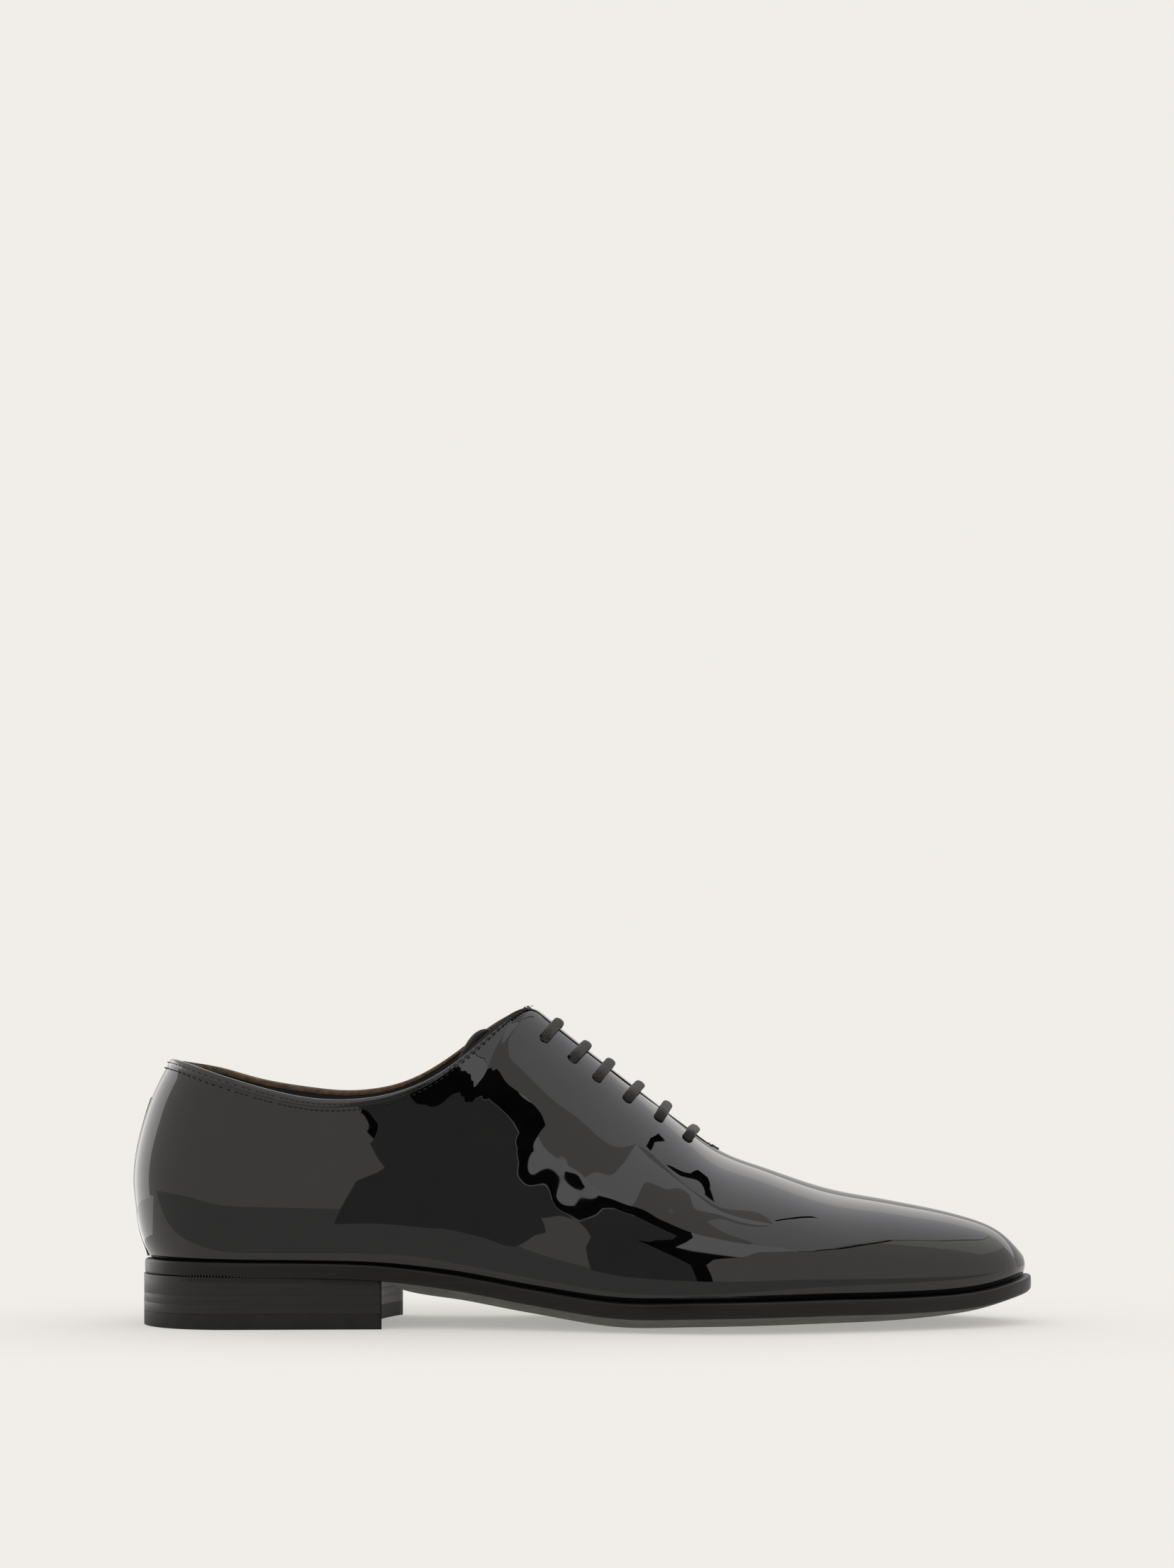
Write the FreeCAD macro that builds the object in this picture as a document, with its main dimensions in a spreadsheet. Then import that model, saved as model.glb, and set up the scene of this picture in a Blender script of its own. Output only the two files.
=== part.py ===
import FreeCAD, Part

# Leather wholecut oxford shoe for the right foot. Each physical piece is a solid of its own.
# Millimetres: +X points to the toe, +Y to the inner side of the foot, +Z up. The ground is z = 0.
import math
import os

from FreeCAD import Placement, Rotation, Vector

SIZES = {
    # Layers of the upper, counted inwards from its outer face
    "leather_thickness": 1.3,
    "layer_gap": 0.1,
    "middle_thickness": 1.0,
    "lining_thickness": 1.0,
    "binding_height": 3.0,
    "strip_thickness": 0.5,
    "strip_width": 7.0,
    # Sole and heel
    "rear_radius": 34.1,
    "rear_centre": -118.5,
    "edge_thickness": 5.0,
    "breast_front": -68.0,
    "breast_hollow": 6.0,
    "breast_half_width": 32.0,
    "top_piece_thickness": 5.0,
    "lift_thickness": 3.0,
    "insole_thickness": 2.2,
    "foam_thickness": 1.0,
    "sock_thickness": 1.1,
    "margin_width": 17.0,
    # Shank
    "shank_length": 112.0,
    "shank_width": 14.0,
    "shank_thickness": 1.2,
    "rivet_radius": 2.0,
    # Nails
    "heel_nail_radius": 0.9,
    "heel_nail_length": 14.0,
    "tip_nail_radius": 0.8,
    "tip_nail_length": 6.0,
    # Lacing
    "hole_radius": 1.6,
    "eyelet_radius": 2.7,
    "lace_radius": 1.3,
    "slot_throat": 41.5,
    "slot_half_width": 2.6,
    "stay_reach": 16.0,
    "aglet_length": 20.0,
    "aglet_radius": 1.5,
    # Tongue
    "tongue_depth": 13.5,
    "tongue_thickness": 1.3,
    "tongue_lining_thickness": 0.8,
    "tongue_root": 40.0,
    "tongue_top": -17.0,
    # The whole shoe is moved by this much, so that the origin is under the middle of its box
    "frame_shift": 2.01,
}

document = FreeCAD.newDocument("oxford_shoe")
sheet = document.addObject("Spreadsheet::Sheet", "sizes")
for row, (name, value) in enumerate(SIZES.items(), start=1):
    sheet.set(f"A{row}", name)
    sheet.set(f"B{row}", str(value))
    sheet.setAlias(f"B{row}", name)
document.recompute()


def size(name):
    """A driving dimension, read from the spreadsheet."""
    return float(getattr(sheet, name))


# ---------------------------------------------------------------- profiles of the shoe, as (x, value)
SOLE_TOP = [(-160, 22.4), (-115, 21.8), (-73, 21.0), (-46, 18.0), (-19, 13.3), (8, 9.6),
            (34, 9.8), (75, 10.5), (105, 10.7), (129, 12.1), (155, 17.2)]
RIDGE = [(-160, 152), (-112, 152), (-68, 146), (-45, 128), (-24, 112.5), (-13, 103.5), (9, 86.2),
         (31, 68.9), (45.5, 58.6), (60, 53.3), (82, 46.0), (104, 41.8), (126, 37.1), (141, 31.4),
         (149.6, 22.5)]
LATERAL_WIDTH = [(-160, 33.8), (-90, 33.6), (-68, 33), (-45, 33.5), (-20, 37.5), (5, 44), (25, 48),
                 (40, 49), (60, 47.5), (80, 43), (100, 36.5), (116, 30), (129, 23.5), (138, 17.5),
                 (144, 12), (149.6, 2)]
MEDIAL_WIDTH = [(-160, 33), (-90, 31.5), (-68, 28.5), (-45, 25.5), (-20, 27.5), (5, 34.5), (25, 43),
                (45, 48.5), (57, 49), (72, 47.2), (90, 42.5), (106, 36.5), (120, 30.5), (132, 24.5),
                (142, 17), (149.6, 8)]
RIDGE_SIDE = [(-160, 0), (-60, 0), (-24, 2), (5, 4), (45, 6), (75, 7), (110, 6), (140, 4), (149.6, 3)]
ARCH_POWER = [(-160, 2.2), (-112, 2.2), (-68, 2.0), (-24, 1.6), (20, 1.7), (50, 1.9), (75, 2.1),
              (110, 2.3), (150, 2.3)]
ARCH_ROUND = [(-160, 1.6), (-68, 1.6), (-24, 1.5), (20, 1.5), (50, 1.75), (75, 2.0),
              (110, 2.2), (150, 2.2)]
BULGE = [(-160, 1.5), (-90, 1.5), (-40, 2.5), (20, 2.0), (60, 2.2), (110, 1.6), (150, 0.6)]
CROWN = [(-80, 0), (-68.5, 0), (-62, 3.6), (-40, 4.1), (-15, 4.2), (10, 4.6), (34, 4.8), (60, 4.8),
         (85, 4.4), (105, 3.6), (125, 2.4), (153, 0.5)]
# The back of the heel, as (z, x)
HEEL_BACK = [(0, -148), (14, -150.3), (22.5, -151.4), (31, -154.2), (40, -155.6), (49, -156.3),
             (58, -155.5), (68, -153.2), (78, -149.9), (90, -143.7), (102, -134), (126, -118)]
# The edge of the mouth on each side, as (x, z), from the back of the heel to the peak over the lacing
LATERAL_MOUTH = [(-165, 91), (-143.5, 90), (-120.5, 82.5), (-105.6, 78), (-91.3, 75), (-77.3, 74.7),
                 (-63.6, 77.1), (-50, 83.4), (-36.5, 94.8), (-27, 104), (-20.3, 108.6)]
MEDIAL_MOUTH = [(-165, 91), (-143.5, 90), (-133.5, 89.3), (-120, 85.5), (-105.7, 82.9), (-86, 81),
                (-67, 83.8), (-51.4, 91.5), (-36, 102.5), (-28, 107), (-20.3, 108.6)]
LACE_HOLES = [(-15.7, 96.8), (-6.0, 89.8), (2.2, 83.2), (12.5, 76.4), (23.2, 69.8), (32.8, 63.1)]
LACE_TOPS = [(-10.5, 105.3), (-0.9, 97.5), (7.3, 91.5), (17.5, 83.6), (26.9, 76.6), (36.5, 68.2)]
# The free lace ends: each leaves its hole, passes over the tongue and hangs down to lie on the sock liner
LACE_TAIL_A = [(-17, 5.3, 94.5), (-23.5, 1, 94.3), (-30, -5.5, 97.2), (-36.5, -11, 99.7),
               (-41.8, -15.3, 93.5), (-44, -17.3, 83.5), (-45.5, -20.3, 72), (-47, -22.3, 59),
               (-49, -23, 46), (-54, -22, 35.5), (-63, -19.5, 30.2), (-74, -16, 31), (-84.5, -10.5, 31.4)]
LACE_TAIL_B = [(-7.3, 6.6, 87.2), (-11, 4.2, 91.8), (-16, 1.3, 95.2), (-22.5, -1, 92.8), (-30, 1, 88),
               (-36, 4.5, 79), (-39, 8.5, 67), (-41, 11.5, 54), (-44, 13, 42), (-50, 13.5, 33),
               (-60, 12.5, 30), (-70.5, 11.5, 31), (-81, 12, 31.4)]
TONGUE_SIDES = (70, 44)  # how low the tongue's sides reach at its top and at its root
# The plan of the outsole, as (x, y), from the rear arc's end to the toe on each side
LATERAL_SOLE = [(-118.5, -34.1), (-90, -33.9), (-66, -33.6), (-45, -34.5), (-20, -39), (5, -46.5),
                (25, -51), (40, -52), (60, -50.5), (80, -46), (100, -39.5), (118, -32), (132, -24.8),
                (143, -16), (150, -6.5), (152.6, 3)]
MEDIAL_SOLE = [(-118.5, 34.1), (-90, 32.8), (-66, 29.6), (-45, 26.8), (-20, 29.3), (5, 37), (25, 46),
               (45, 51.5), (57, 52), (72, 50.3), (90, 45.5), (108, 38.5), (124, 31.3), (137, 23.6),
               (147, 14.5), (152.6, 3)]
HEEL_NAILS = [(-132, -12), (-132, 12), (-118, -20), (-118, 20), (-96, -21), (-96, 20), (-82, 0)]
TIP_NAILS = [(-141, 0), (-133, -17), (-133, 17), (-112, -26), (-112, 25), (-88, -26), (-88, 24)]
TIP_NAIL_FOOT = 1.5  # the top piece's nails start this high

HINGE = Vector(-24, 0, 126)  # the section planes fan round this line, parallel to Y
FAN_ANGLES = (180, 190, 200, 208, 214, 219, 225, 233, 243, 256)  # the leaning section planes, in degrees
STATIONS = (-24, -10, 5, 20, 34, 48, 62, 77, 92, 106, 119, 130, 139, 145, 148.6)  # the upright ones
BAND_STATIONS = (-160, -138, -115, -94, -73, -60, -46, -32, -19, -5, 8, 21, 34, 55, 75, 90, 105,
                 117, 129, 142, 155)
CROWN_STATIONS = (-170, -158, -146, -134, -122, -110, -98, -88, -78, -68.5, -65, -62, -50, -38, -26, -14,
                  -2, 10, 22, 34, 46, 60, 75, 90, 105, 117, 129, 141, 156)
TOE_END = 149.6
STAY_BACK = -36.0  # the facing stays start here
STAY_FOOT = 50.0  # and reach this far down
COUNTER_FRONT = -60.0
COUNTER_TOP = 66.0
PUFF_BACK = 98.0
LINING_SEAM = 45.0  # the quarter lining meets the vamp lining here
HEEL_ROUND = 34.0
HEEL_POWER = 2.05  # how square the heel is in plan
TOE_FRONT = 100.0  # ahead of this the inner layers are shortened
DRILL_REACH = 9.0
DRILL_LEAD = 1.5
SEAM_DEPTH = 0.8  # the sole seam's thread reaches this far down into the insole
RIVET_INSET = 9.0
SHANK_START = -116.0
SOLE_TIP = Vector(152.6, 3, 0)
NARROW = 30.0  # where the sole's half width is less than this, its inner layers draw in by less
SEAM_INSET = 14.0
COLUMN_FOOT = -20.0
COLUMN_HEIGHT = 80.0
MARGIN_STATIONS = 24
FOOTBED_STATIONS = 16
FOOTBED_SHORT = 4.5  # the layers underfoot end this far behind the toe's end wall
FOOTBED_GAP = 0.4  # and stay this far inside the lining all round
TOE_TAPER = 25.0  # over this length the toe's side walls thin out, because its end wall does their work
TOE_INSET = 5.0  # the most that the toe's sides move in
BELOW = 13.0  # the lasted form runs this far below the sole's top before it is trimmed


def below(inset):
    """How far below the sole's top the form at this depth runs."""
    return BELOW - inset


def along(points, x):
    """A smooth curve through the points, read at x."""
    x = min(max(x, points[0][0]), points[-1][0])
    i = max(k for k in range(len(points) - 1) if points[k][0] <= x)
    slopes = []
    for k in (i, i + 1):
        before, after = points[max(k - 1, 0)], points[min(k + 1, len(points) - 1)]
        slopes.append((after[1] - before[1]) / (after[0] - before[0]))
    (x0, v0), (x1, v1) = points[i], points[i + 1]
    step = x1 - x0
    t = (x - x0) / step
    return (
        v0 * (2 * t**3 - 3 * t**2 + 1)
        + v1 * (3 * t**2 - 2 * t**3)
        + slopes[0] * step * (t**3 - 2 * t**2 + t)
        + slopes[1] * step * (t**3 - t**2)
    )


def heel_factor(x, z, inset):
    """How much of its full width the heel has at this point: 0 at the back, 1 ahead of the rounding."""
    depth = x - along(HEEL_BACK, z) - inset
    if depth <= 0:
        return 0.0
    share = min(depth / (HEEL_ROUND - inset), 1)
    return (1 - (1 - share) ** HEEL_POWER) ** (1 / HEEL_POWER)


def stretched(x, inset):
    """Where an inner layer's place x lies on the outer form, whose toe reaches further."""
    if x <= TOE_FRONT:
        return x
    return TOE_FRONT + (x - TOE_FRONT) * (TOE_END - TOE_FRONT) / (TOE_END - inset - TOE_FRONT)


def shortened(x, inset):
    """Where the outer form's place x lies on an inner layer."""
    if x <= TOE_FRONT:
        return x
    return TOE_FRONT + (x - TOE_FRONT) * (TOE_END - inset - TOE_FRONT) / (TOE_END - TOE_FRONT)


def side(x, z, inset, sign):
    """The lasted form's y at (x, z), on the lateral side for sign -1 and on the medial side for +1."""
    place = stretched(x, inset)
    floor = along(SOLE_TOP, x)
    top = along(RIDGE, place) - inset
    share = min(max((z - floor) / (top - floor), 0), 1)
    arch = (1 - share ** along(ARCH_POWER, place)) ** (1 / along(ARCH_ROUND, place))
    taper = math.sqrt(min((TOE_END - place) / TOE_TAPER, 1))
    moved = inset if taper == 1 else min(inset, TOE_INSET) * taper
    width = along(LATERAL_WIDTH if sign < 0 else MEDIAL_WIDTH, place) - moved
    span = min(50.0, 0.9 * (top - floor))
    rise = z - floor
    bulge = along(BULGE, place) * math.sin(math.pi * rise / span) if 0 < rise < span else 0.0
    middle = along(RIDGE_SIDE, place)
    full = arch * (sign * (width + bulge)) + (1 - arch) * middle
    if z < floor:
        # below the sole's top the form closes in, out of sight
        drop = min((floor - z) / below(inset), 1)
        full *= math.sqrt(max(1 - drop**3, 0))
    return full * heel_factor(x, z, inset) if x < -90 else full


def edge_distance(direction, low, high, is_inside):
    """The distance from the hinge line at which is_inside(x, z) changes, between low and high."""
    first = is_inside(HINGE.x + direction.x * low, HINGE.z + direction.z * low)
    for _ in range(40):
        middle = (low + high) / 2
        if is_inside(HINGE.x + direction.x * middle, HINGE.z + direction.z * middle) == first:
            low = middle
        else:
            high = middle
    return (low + high) / 2


def leaning_ends(degrees, inset):
    """The two ends of the form in the plane that leans at this angle from the hinge line."""
    direction = Vector(math.cos(math.radians(degrees)), 0, math.sin(math.radians(degrees)))

    def under_ridge(x, z):
        return z < along(RIDGE, x) - inset

    def within(x, z):
        return x > along(HEEL_BACK, z) + inset and z > along(SOLE_TOP, x) - below(inset)

    near = edge_distance(direction, 4.0, 45.0, under_ridge)
    far = edge_distance(direction, 60.0, 200.0, within)
    return HINGE + direction * near, HINGE + direction * far


def ring(start, stop, inset, count=10):
    """Points round the form's surface in the plane from start to stop, from the far end round to it again."""
    lateral, medial = [], []
    for k in range(count):
        share = (1 - math.cos(math.pi * (k + 0.5) / count)) / 2
        point = start + (stop - start) * share
        for sign, found in ((-1, lateral), (1, medial)):
            found.append(Vector(point.x, side(point.x, point.z, inset, sign), point.z))
    top = Vector(start.x, (lateral[0].y + medial[0].y) / 2, start.z)
    foot = Vector(stop.x, (lateral[-1].y + medial[-1].y) / 2, stop.z)
    return [foot] + lateral[::-1] + [top] + medial + [foot]


def form(inset):
    """The lasted form, each of its walls moved in by inset: a closed solid, before any trimming."""
    rings = []
    for degrees in (FAN_ANGLES[0] - min(inset, 4),) + FAN_ANGLES[1:]:
        start, stop = leaning_ends(degrees, inset)
        rings.append(ring(start, stop, inset))
    for x in STATIONS:
        place = shortened(x, inset)
        top = along(RIDGE, x) - inset
        foot = along(SOLE_TOP, place) - below(inset)
        rings.append(ring(Vector(place, 0, top), Vector(place, 0, foot), inset))
    surface = Part.BSplineSurface()
    surface.interpolate(rings)
    skin = surface.toShape()
    caps = [Part.Face(Part.Wire([closed_edge(skin, end)])) for end in (rings[0], rings[-1])]
    shell = Part.makeShell([skin] + caps)
    shell.sewShape()
    return Part.makeSolid(shell)


def closed_edge(skin, points):
    """The skin's own closed edge that runs through these points."""
    return min(skin.Edges, key=lambda edge: sum(edge.distToShape(Part.Vertex(p))[0] for p in points[::4]))


def band(low, high, start=-175.0, end=175.0):
    """What lies between two heights over the sole's top, from start to end, across the whole shoe."""
    edges = []
    for height in (low, high):
        edges.append(spline_edge([Vector(x, -70, along(SOLE_TOP, x) + height) for x in BAND_STATIONS]))
    lower, upper = edges
    ends = [
        Part.makeLine(lower.valueAt(lower.LastParameter), upper.valueAt(upper.LastParameter)),
        Part.makeLine(upper.valueAt(upper.FirstParameter), lower.valueAt(lower.FirstParameter)),
    ]
    face = Part.Face(Part.Wire([lower, ends[0], upper, ends[1]]))
    solid = face.extrude(Vector(0, 140, 0))
    if start > -175 or end < 175:
        solid = solid.common(block(start, end, -80, 80, -40, 260))
    return solid


def block(x0, x1, y0, y1, z0, z1):
    return Part.makeBox(x1 - x0, y1 - y0, z1 - z0, Vector(x0, y0, z0))


def spline_edge(points):
    spline = Part.BSplineCurve()
    spline.interpolate(Points=points)
    return spline.toShape()


def sole_wire():
    """The outsole's plan: an arc round the heel and a curve along each side to the toe."""
    radius = size("rear_radius")
    centre = size("rear_centre")
    rear = Part.Arc(
        Vector(centre, radius, 0), Vector(centre - radius, 0, 0), Vector(centre, -radius, 0)
    ).toShape()
    sides = []
    for points in (LATERAL_SOLE, MEDIAL_SOLE):
        spline = Part.BSplineCurve()
        flat = [Vector(x, y, 0) for x, y in points]
        inwards = Vector(0, 1, 0) if points is LATERAL_SOLE else Vector(0, -1, 0)
        spline.interpolate(Points=flat, InitialTangent=Vector(1, 0, 0), FinalTangent=inwards)
        sides.append(spline.toShape())
    return Part.Wire(Part.__sortEdges__([rear, sides[0], sides[1]]))


def sole_column():
    """The outsole's plan as an upright solid."""
    face = Part.Face(sole_wire())
    face.translate(Vector(0, 0, COLUMN_FOOT))
    return face.extrude(Vector(0, 0, COLUMN_HEIGHT))


def sole_side(x, sign):
    """How far the outsole reaches at x, on one side."""
    behind = x - size("rear_centre")
    if behind < 0:
        return math.sqrt(max(size("rear_radius") ** 2 - behind**2, 0))
    return sign * along(LATERAL_SOLE if sign < 0 else MEDIAL_SOLE, x)


def inner_column(inset):
    """The outsole's plan drawn in by inset, less where it is narrow, as an upright solid with flat sides."""
    half = SOLE_TIP.x - inset
    sides = {-1: [], 1: []}
    for k in range(1, MARGIN_STATIONS):
        share = -math.cos(math.pi * k / MARGIN_STATIONS)
        for sign, found in sides.items():
            reach = sole_side(SOLE_TIP.x * share, sign)
            drawn_in = inset * min(max(reach, 0) / NARROW, 1)
            found.append(Vector(half * share, sign * (reach - drawn_in), COLUMN_FOOT))
    rear = Vector(-half, 0, COLUMN_FOOT)
    front = Vector(half, SOLE_TIP.y, COLUMN_FOOT)
    outline = [rear] + sides[-1] + [front] + sides[1][::-1] + [rear]
    return Part.Face(Part.makePolygon(outline)).extrude(Vector(0, 0, COLUMN_HEIGHT))


def mouth(drop=0.0):
    """Everything above the edge of the mouth, lowered by drop."""
    wires = []
    for y, points in ((-75, LATERAL_MOUTH), (-26, LATERAL_MOUTH), (26, MEDIAL_MOUTH), (75, MEDIAL_MOUTH)):
        edge = spline_edge([Vector(x, y, z - drop) for x, z in points])
        peak = edge.valueAt(edge.LastParameter)
        rear = edge.valueAt(edge.FirstParameter)
        over = Vector(peak.x + 1.0 + drop, y, 190)
        back = Vector(rear.x, y, 190)
        sides = [Part.makeLine(peak, over), Part.makeLine(over, back), Part.makeLine(back, rear)]
        wires.append(Part.Wire([edge] + sides))
    return Part.makeLoft(wires, True, True)


def slot(half_width):
    """The lacing slot between the facings: narrower at the throat, where it is round."""
    throat = size("slot_throat")
    points = [
        Vector(-60, 2 - half_width, 40),
        Vector(throat, along(RIDGE_SIDE, throat) - 0.5 * half_width, 40),
        Vector(throat, along(RIDGE_SIDE, throat) + 0.5 * half_width, 40),
        Vector(-60, 2 + half_width, 40),
    ]
    prism = Part.Face(Part.makePolygon(points + points[:1])).extrude(Vector(0, 0, 160))
    end = Part.makeCylinder(0.5 * half_width, 160, Vector(throat, along(RIDGE_SIDE, throat), 40))
    return prism.fuse(end)


def outward(x, z, sign, inset=0.0):
    """The form's normal at (x, z) on one side."""
    step = 0.5
    slope_x = (side(x + step, z, inset, sign) - side(x - step, z, inset, sign)) / (2 * step)
    slope_z = (side(x, z + step, inset, sign) - side(x, z - step, inset, sign)) / (2 * step)
    normal = Vector(-slope_x, 1, -slope_z) * sign
    return normal.normalize()


def hole_centres():
    """Each lace hole's centre on the outer face with its outward normal: lateral first, then medial."""
    found = []
    for sign in (-1, 1):
        for x, z in LACE_HOLES:
            found.append((Vector(x, side(x, z, 0, sign), z), outward(x, z, sign)))
    return found


def drilled(shape, radius):
    """The shape with the twelve lace holes through it."""
    tools = []
    for centre, normal in hole_centres():
        tools.append(Part.makeCylinder(radius, DRILL_REACH, centre + normal * DRILL_LEAD, normal * -1))
    return shape.cut(tools[0].multiFuse(tools[1:]))


def rounded_path(points, shortest):
    """Straight runs joined by tangent arcs, each arc as large as its two runs allow."""
    edges = []
    start = points[0]
    for before, here, after in zip(points, points[1:], points[2:], strict=False):
        into = (here - before).normalize()
        out = (after - here).normalize()
        half_turn = into.getAngle(out) / 2
        cut = 0.45 * min((here - before).Length, (after - here).Length)
        radius = cut / math.tan(half_turn)
        shortest.append(radius)
        first = here - into * cut
        last = here + out * cut
        inwards = (out - into).normalize()
        middle = here + inwards * (radius / math.cos(half_turn) - radius)
        edges.append(Part.makeLine(start, first))
        edges.append(Part.Arc(first, middle, last).toShape())
        start = last
    edges.append(Part.makeLine(start, points[-1]))
    return Part.Wire(edges)


def tube(points, radius, label):
    """A round cord along the points. Its length and its tightest bend are printed."""
    radii = []
    path = rounded_path(points, radii)
    start = (points[1] - points[0]).normalize()
    circle = Part.Wire([Part.makeCircle(radius, points[0], start)])
    solid = path.makePipeShell([circle], True, False)
    bend = f", tightest bend {min(radii):.1f} mm" if radii else ""
    print(f"{label}: length {path.Length:.0f} mm{bend}")
    return solid


pieces = {}


def add(name, shape):
    """Keeps a piece as a feature of the document, moved to the shoe's own frame."""
    feature = document.addObject("Part::Feature", name)
    feature.Shape = shape
    feature.Placement = Placement(Vector(size("frame_shift"), 0, 0), Rotation())
    feature.setExpression("Placement.Base.x", "sizes.frame_shift")
    feature.Label = name
    pieces[name] = feature
    return shape


# ---------------------------------------------------------------- the layers of the upper
outer = size("leather_thickness")
middle_out = outer + size("layer_gap")
middle_in = middle_out + size("middle_thickness")
lining_out = middle_in + size("layer_gap")
lining_in = lining_out + size("lining_thickness")
clear = lining_in + size("layer_gap")

opening = mouth()
lacing_slot = slot(size("slot_half_width"))
tucked = inner_column(size("margin_width")).common(band(-2, clear - 0.05))


def trimmed(inset):
    """The form at this depth, standing on the sole or on the layers under it."""
    return form(inset).common(band(inset, 230))


def layer(outside, inside):
    """The wall between two depths, open at the mouth, along the lacing and under the foot."""
    return trimmed(outside).cut(opening).cut(trimmed(inside)).cut(lacing_slot).cut(tucked)


def build_upper():
    shell = drilled(layer(0, outer), size("hole_radius"))
    rim = mouth(size("binding_height"))
    add("wholecut_upper", shell.cut(rim))
    binding = shell.common(rim)
    add("topline_binding", binding)
    strip = form(-size("strip_thickness")).common(band(0.2, 230)).cut(form(0))
    half = size("strip_width") / 2
    add("back_strip", strip.common(block(-170, -125, -half, half, 22, 77)))


def build_middle():
    wall = layer(middle_out, middle_in)
    reach = size("stay_reach")
    throat = size("slot_throat")
    front = throat + 3
    gap = size("layer_gap")
    centre = 3.0
    far = centre + reach + 4
    near = centre - reach - 4
    add("heel_counter", wall.common(block(-175, COUNTER_FRONT, -80, 80, -10, COUNTER_TOP)))
    add("toe_puff", wall.common(block(PUFF_BACK, 175, -80, 80, -10, 100)))
    stays = drilled(wall, size("eyelet_radius") + 0.05)
    lateral = block(STAY_BACK, front, near, centre - gap / 2, STAY_FOOT, 150)
    medial = block(STAY_BACK, front, centre + gap / 2, far, STAY_FOOT, 150)
    add("lateral_facing_stay", stays.common(lateral))
    add("medial_facing_stay", stays.common(medial))
    rest = wall.cut(block(-175, COUNTER_FRONT + gap, -80, 80, -10, COUNTER_TOP + gap))
    rest = rest.cut(block(PUFF_BACK - gap, 175, -80, 80, -10, 100))
    stay_room = block(STAY_BACK - gap, front + gap, near - gap, far + gap, STAY_FOOT - gap, 150)
    add("interlining", rest.cut(stay_room))
    rings = []
    for centre_point, normal in hole_centres():
        start = centre_point + normal * DRILL_LEAD
        disc = Part.makeCylinder(size("eyelet_radius"), DRILL_REACH, start, normal * -1)
        bore = Part.makeCylinder(size("hole_radius"), DRILL_REACH, start, normal * -1)
        rings.append(disc.cut(bore).common(wall))
    add("blind_eyelets", Part.makeCompound(rings))


def build_lining():
    wall = drilled(layer(lining_out, lining_in), size("hole_radius"))
    half_gap = size("layer_gap") / 2
    add("quarter_lining", wall.common(block(-175, LINING_SEAM - half_gap, -80, 80, -10, 200)))
    add("vamp_lining", wall.common(block(LINING_SEAM + half_gap, 175, -80, 80, -10, 200)))


def footbed(low, high):
    """A full-length layer inside the shoe, between two heights over the sole's top."""
    inset = clear + FOOTBED_GAP
    back = along(HEEL_BACK, along(SOLE_TOP, -150) + low) + inset
    front = TOE_END - inset - FOOTBED_SHORT
    lateral, medial = [], []
    for k in range(1, FOOTBED_STATIONS + 1):
        x = (back + front) / 2 - (front - back) / 2 * math.cos(math.pi * k / FOOTBED_STATIONS)
        for sign, found in ((-1, lateral), (1, medial)):
            found.append(Vector(x, side(x, along(SOLE_TOP, x) + low, inset, sign), -10))
    spline = Part.BSplineCurve()
    spline.interpolate(Points=[Vector(back, 0, -10)] + lateral + medial[::-1], PeriodicFlag=True)
    return Part.Face(Part.Wire([spline.toShape()])).extrude(Vector(0, 0, 70)).common(band(low, high))


def build_footbed():
    heights = [clear]
    for part in ("insole_thickness", "foam_thickness", "sock_thickness"):
        heights.append(heights[-1] + size(part))
    insole = footbed(heights[0], heights[1])
    seam = inner_column(SEAM_INSET).cut(inner_column(SEAM_INSET + 1))
    seam = seam.common(band(heights[1] - SEAM_DEPTH, heights[1] + 5))
    add("insole_board", insole.cut(seam))
    add("sole_stitch", insole.common(seam))
    add("sock_foam", footbed(heights[1] + 0.05, heights[2]))
    add("sock_liner", footbed(heights[2] + 0.05, heights[3]))
    filler = inner_column(size("margin_width") + 0.2).common(band(0.05, clear - 0.1))
    end = SHANK_START + size("shank_length")
    half = size("shank_width") / 2
    base = 1.0
    strip = block(SHANK_START, end, -half, half, -10, 60)
    spring = band(base, base + size("shank_thickness")).common(strip)
    rivets = []
    for x in (SHANK_START + RIVET_INSET, end - RIVET_INSET):
        floor = along(SOLE_TOP, x)
        rivets.append(Part.makeCylinder(size("rivet_radius"), clear - 0.6, Vector(x, 0, floor + 0.3)))
    pins = Part.makeCompound(rivets)
    add("shank", spring.cut(pins))
    add("shank_rivets", pins)
    add("cork_filler", filler.cut(spring).cut(pins))


def crowned_block():
    """The outsole's underside: crowned across from the waist to the toe and flat under the heel."""
    wires = []
    for x in CROWN_STATIONS:
        floor = along(SOLE_TOP, x) - size("edge_thickness")
        crown = along(CROWN, x)
        half = max(sole_side(min(max(x, -118), 146), -1), 12) + 1
        points = []
        for step in range(-4, 5):
            across = step / 4
            points.append(Vector(x, across * half, floor - crown * (1 - across**4)))
        under = spline_edge(points)
        corners = [points[-1]]
        for y, z in ((75, floor), (75, 60), (-75, 60), (-75, floor)):
            corners.append(Vector(x, y, z))
        corners.append(points[0])
        lines = [Part.makeLine(a, b) for a, b in zip(corners, corners[1:], strict=False)]
        wires.append(Part.Wire([under] + lines))
    return Part.makeLoft(wires, True, True)


def build_outsole():
    above_ground = block(-175, 175, -80, 80, 0, 60)
    add("outsole", sole_column().common(crowned_block()).common(band(-40, 0)).common(above_ground))


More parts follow.
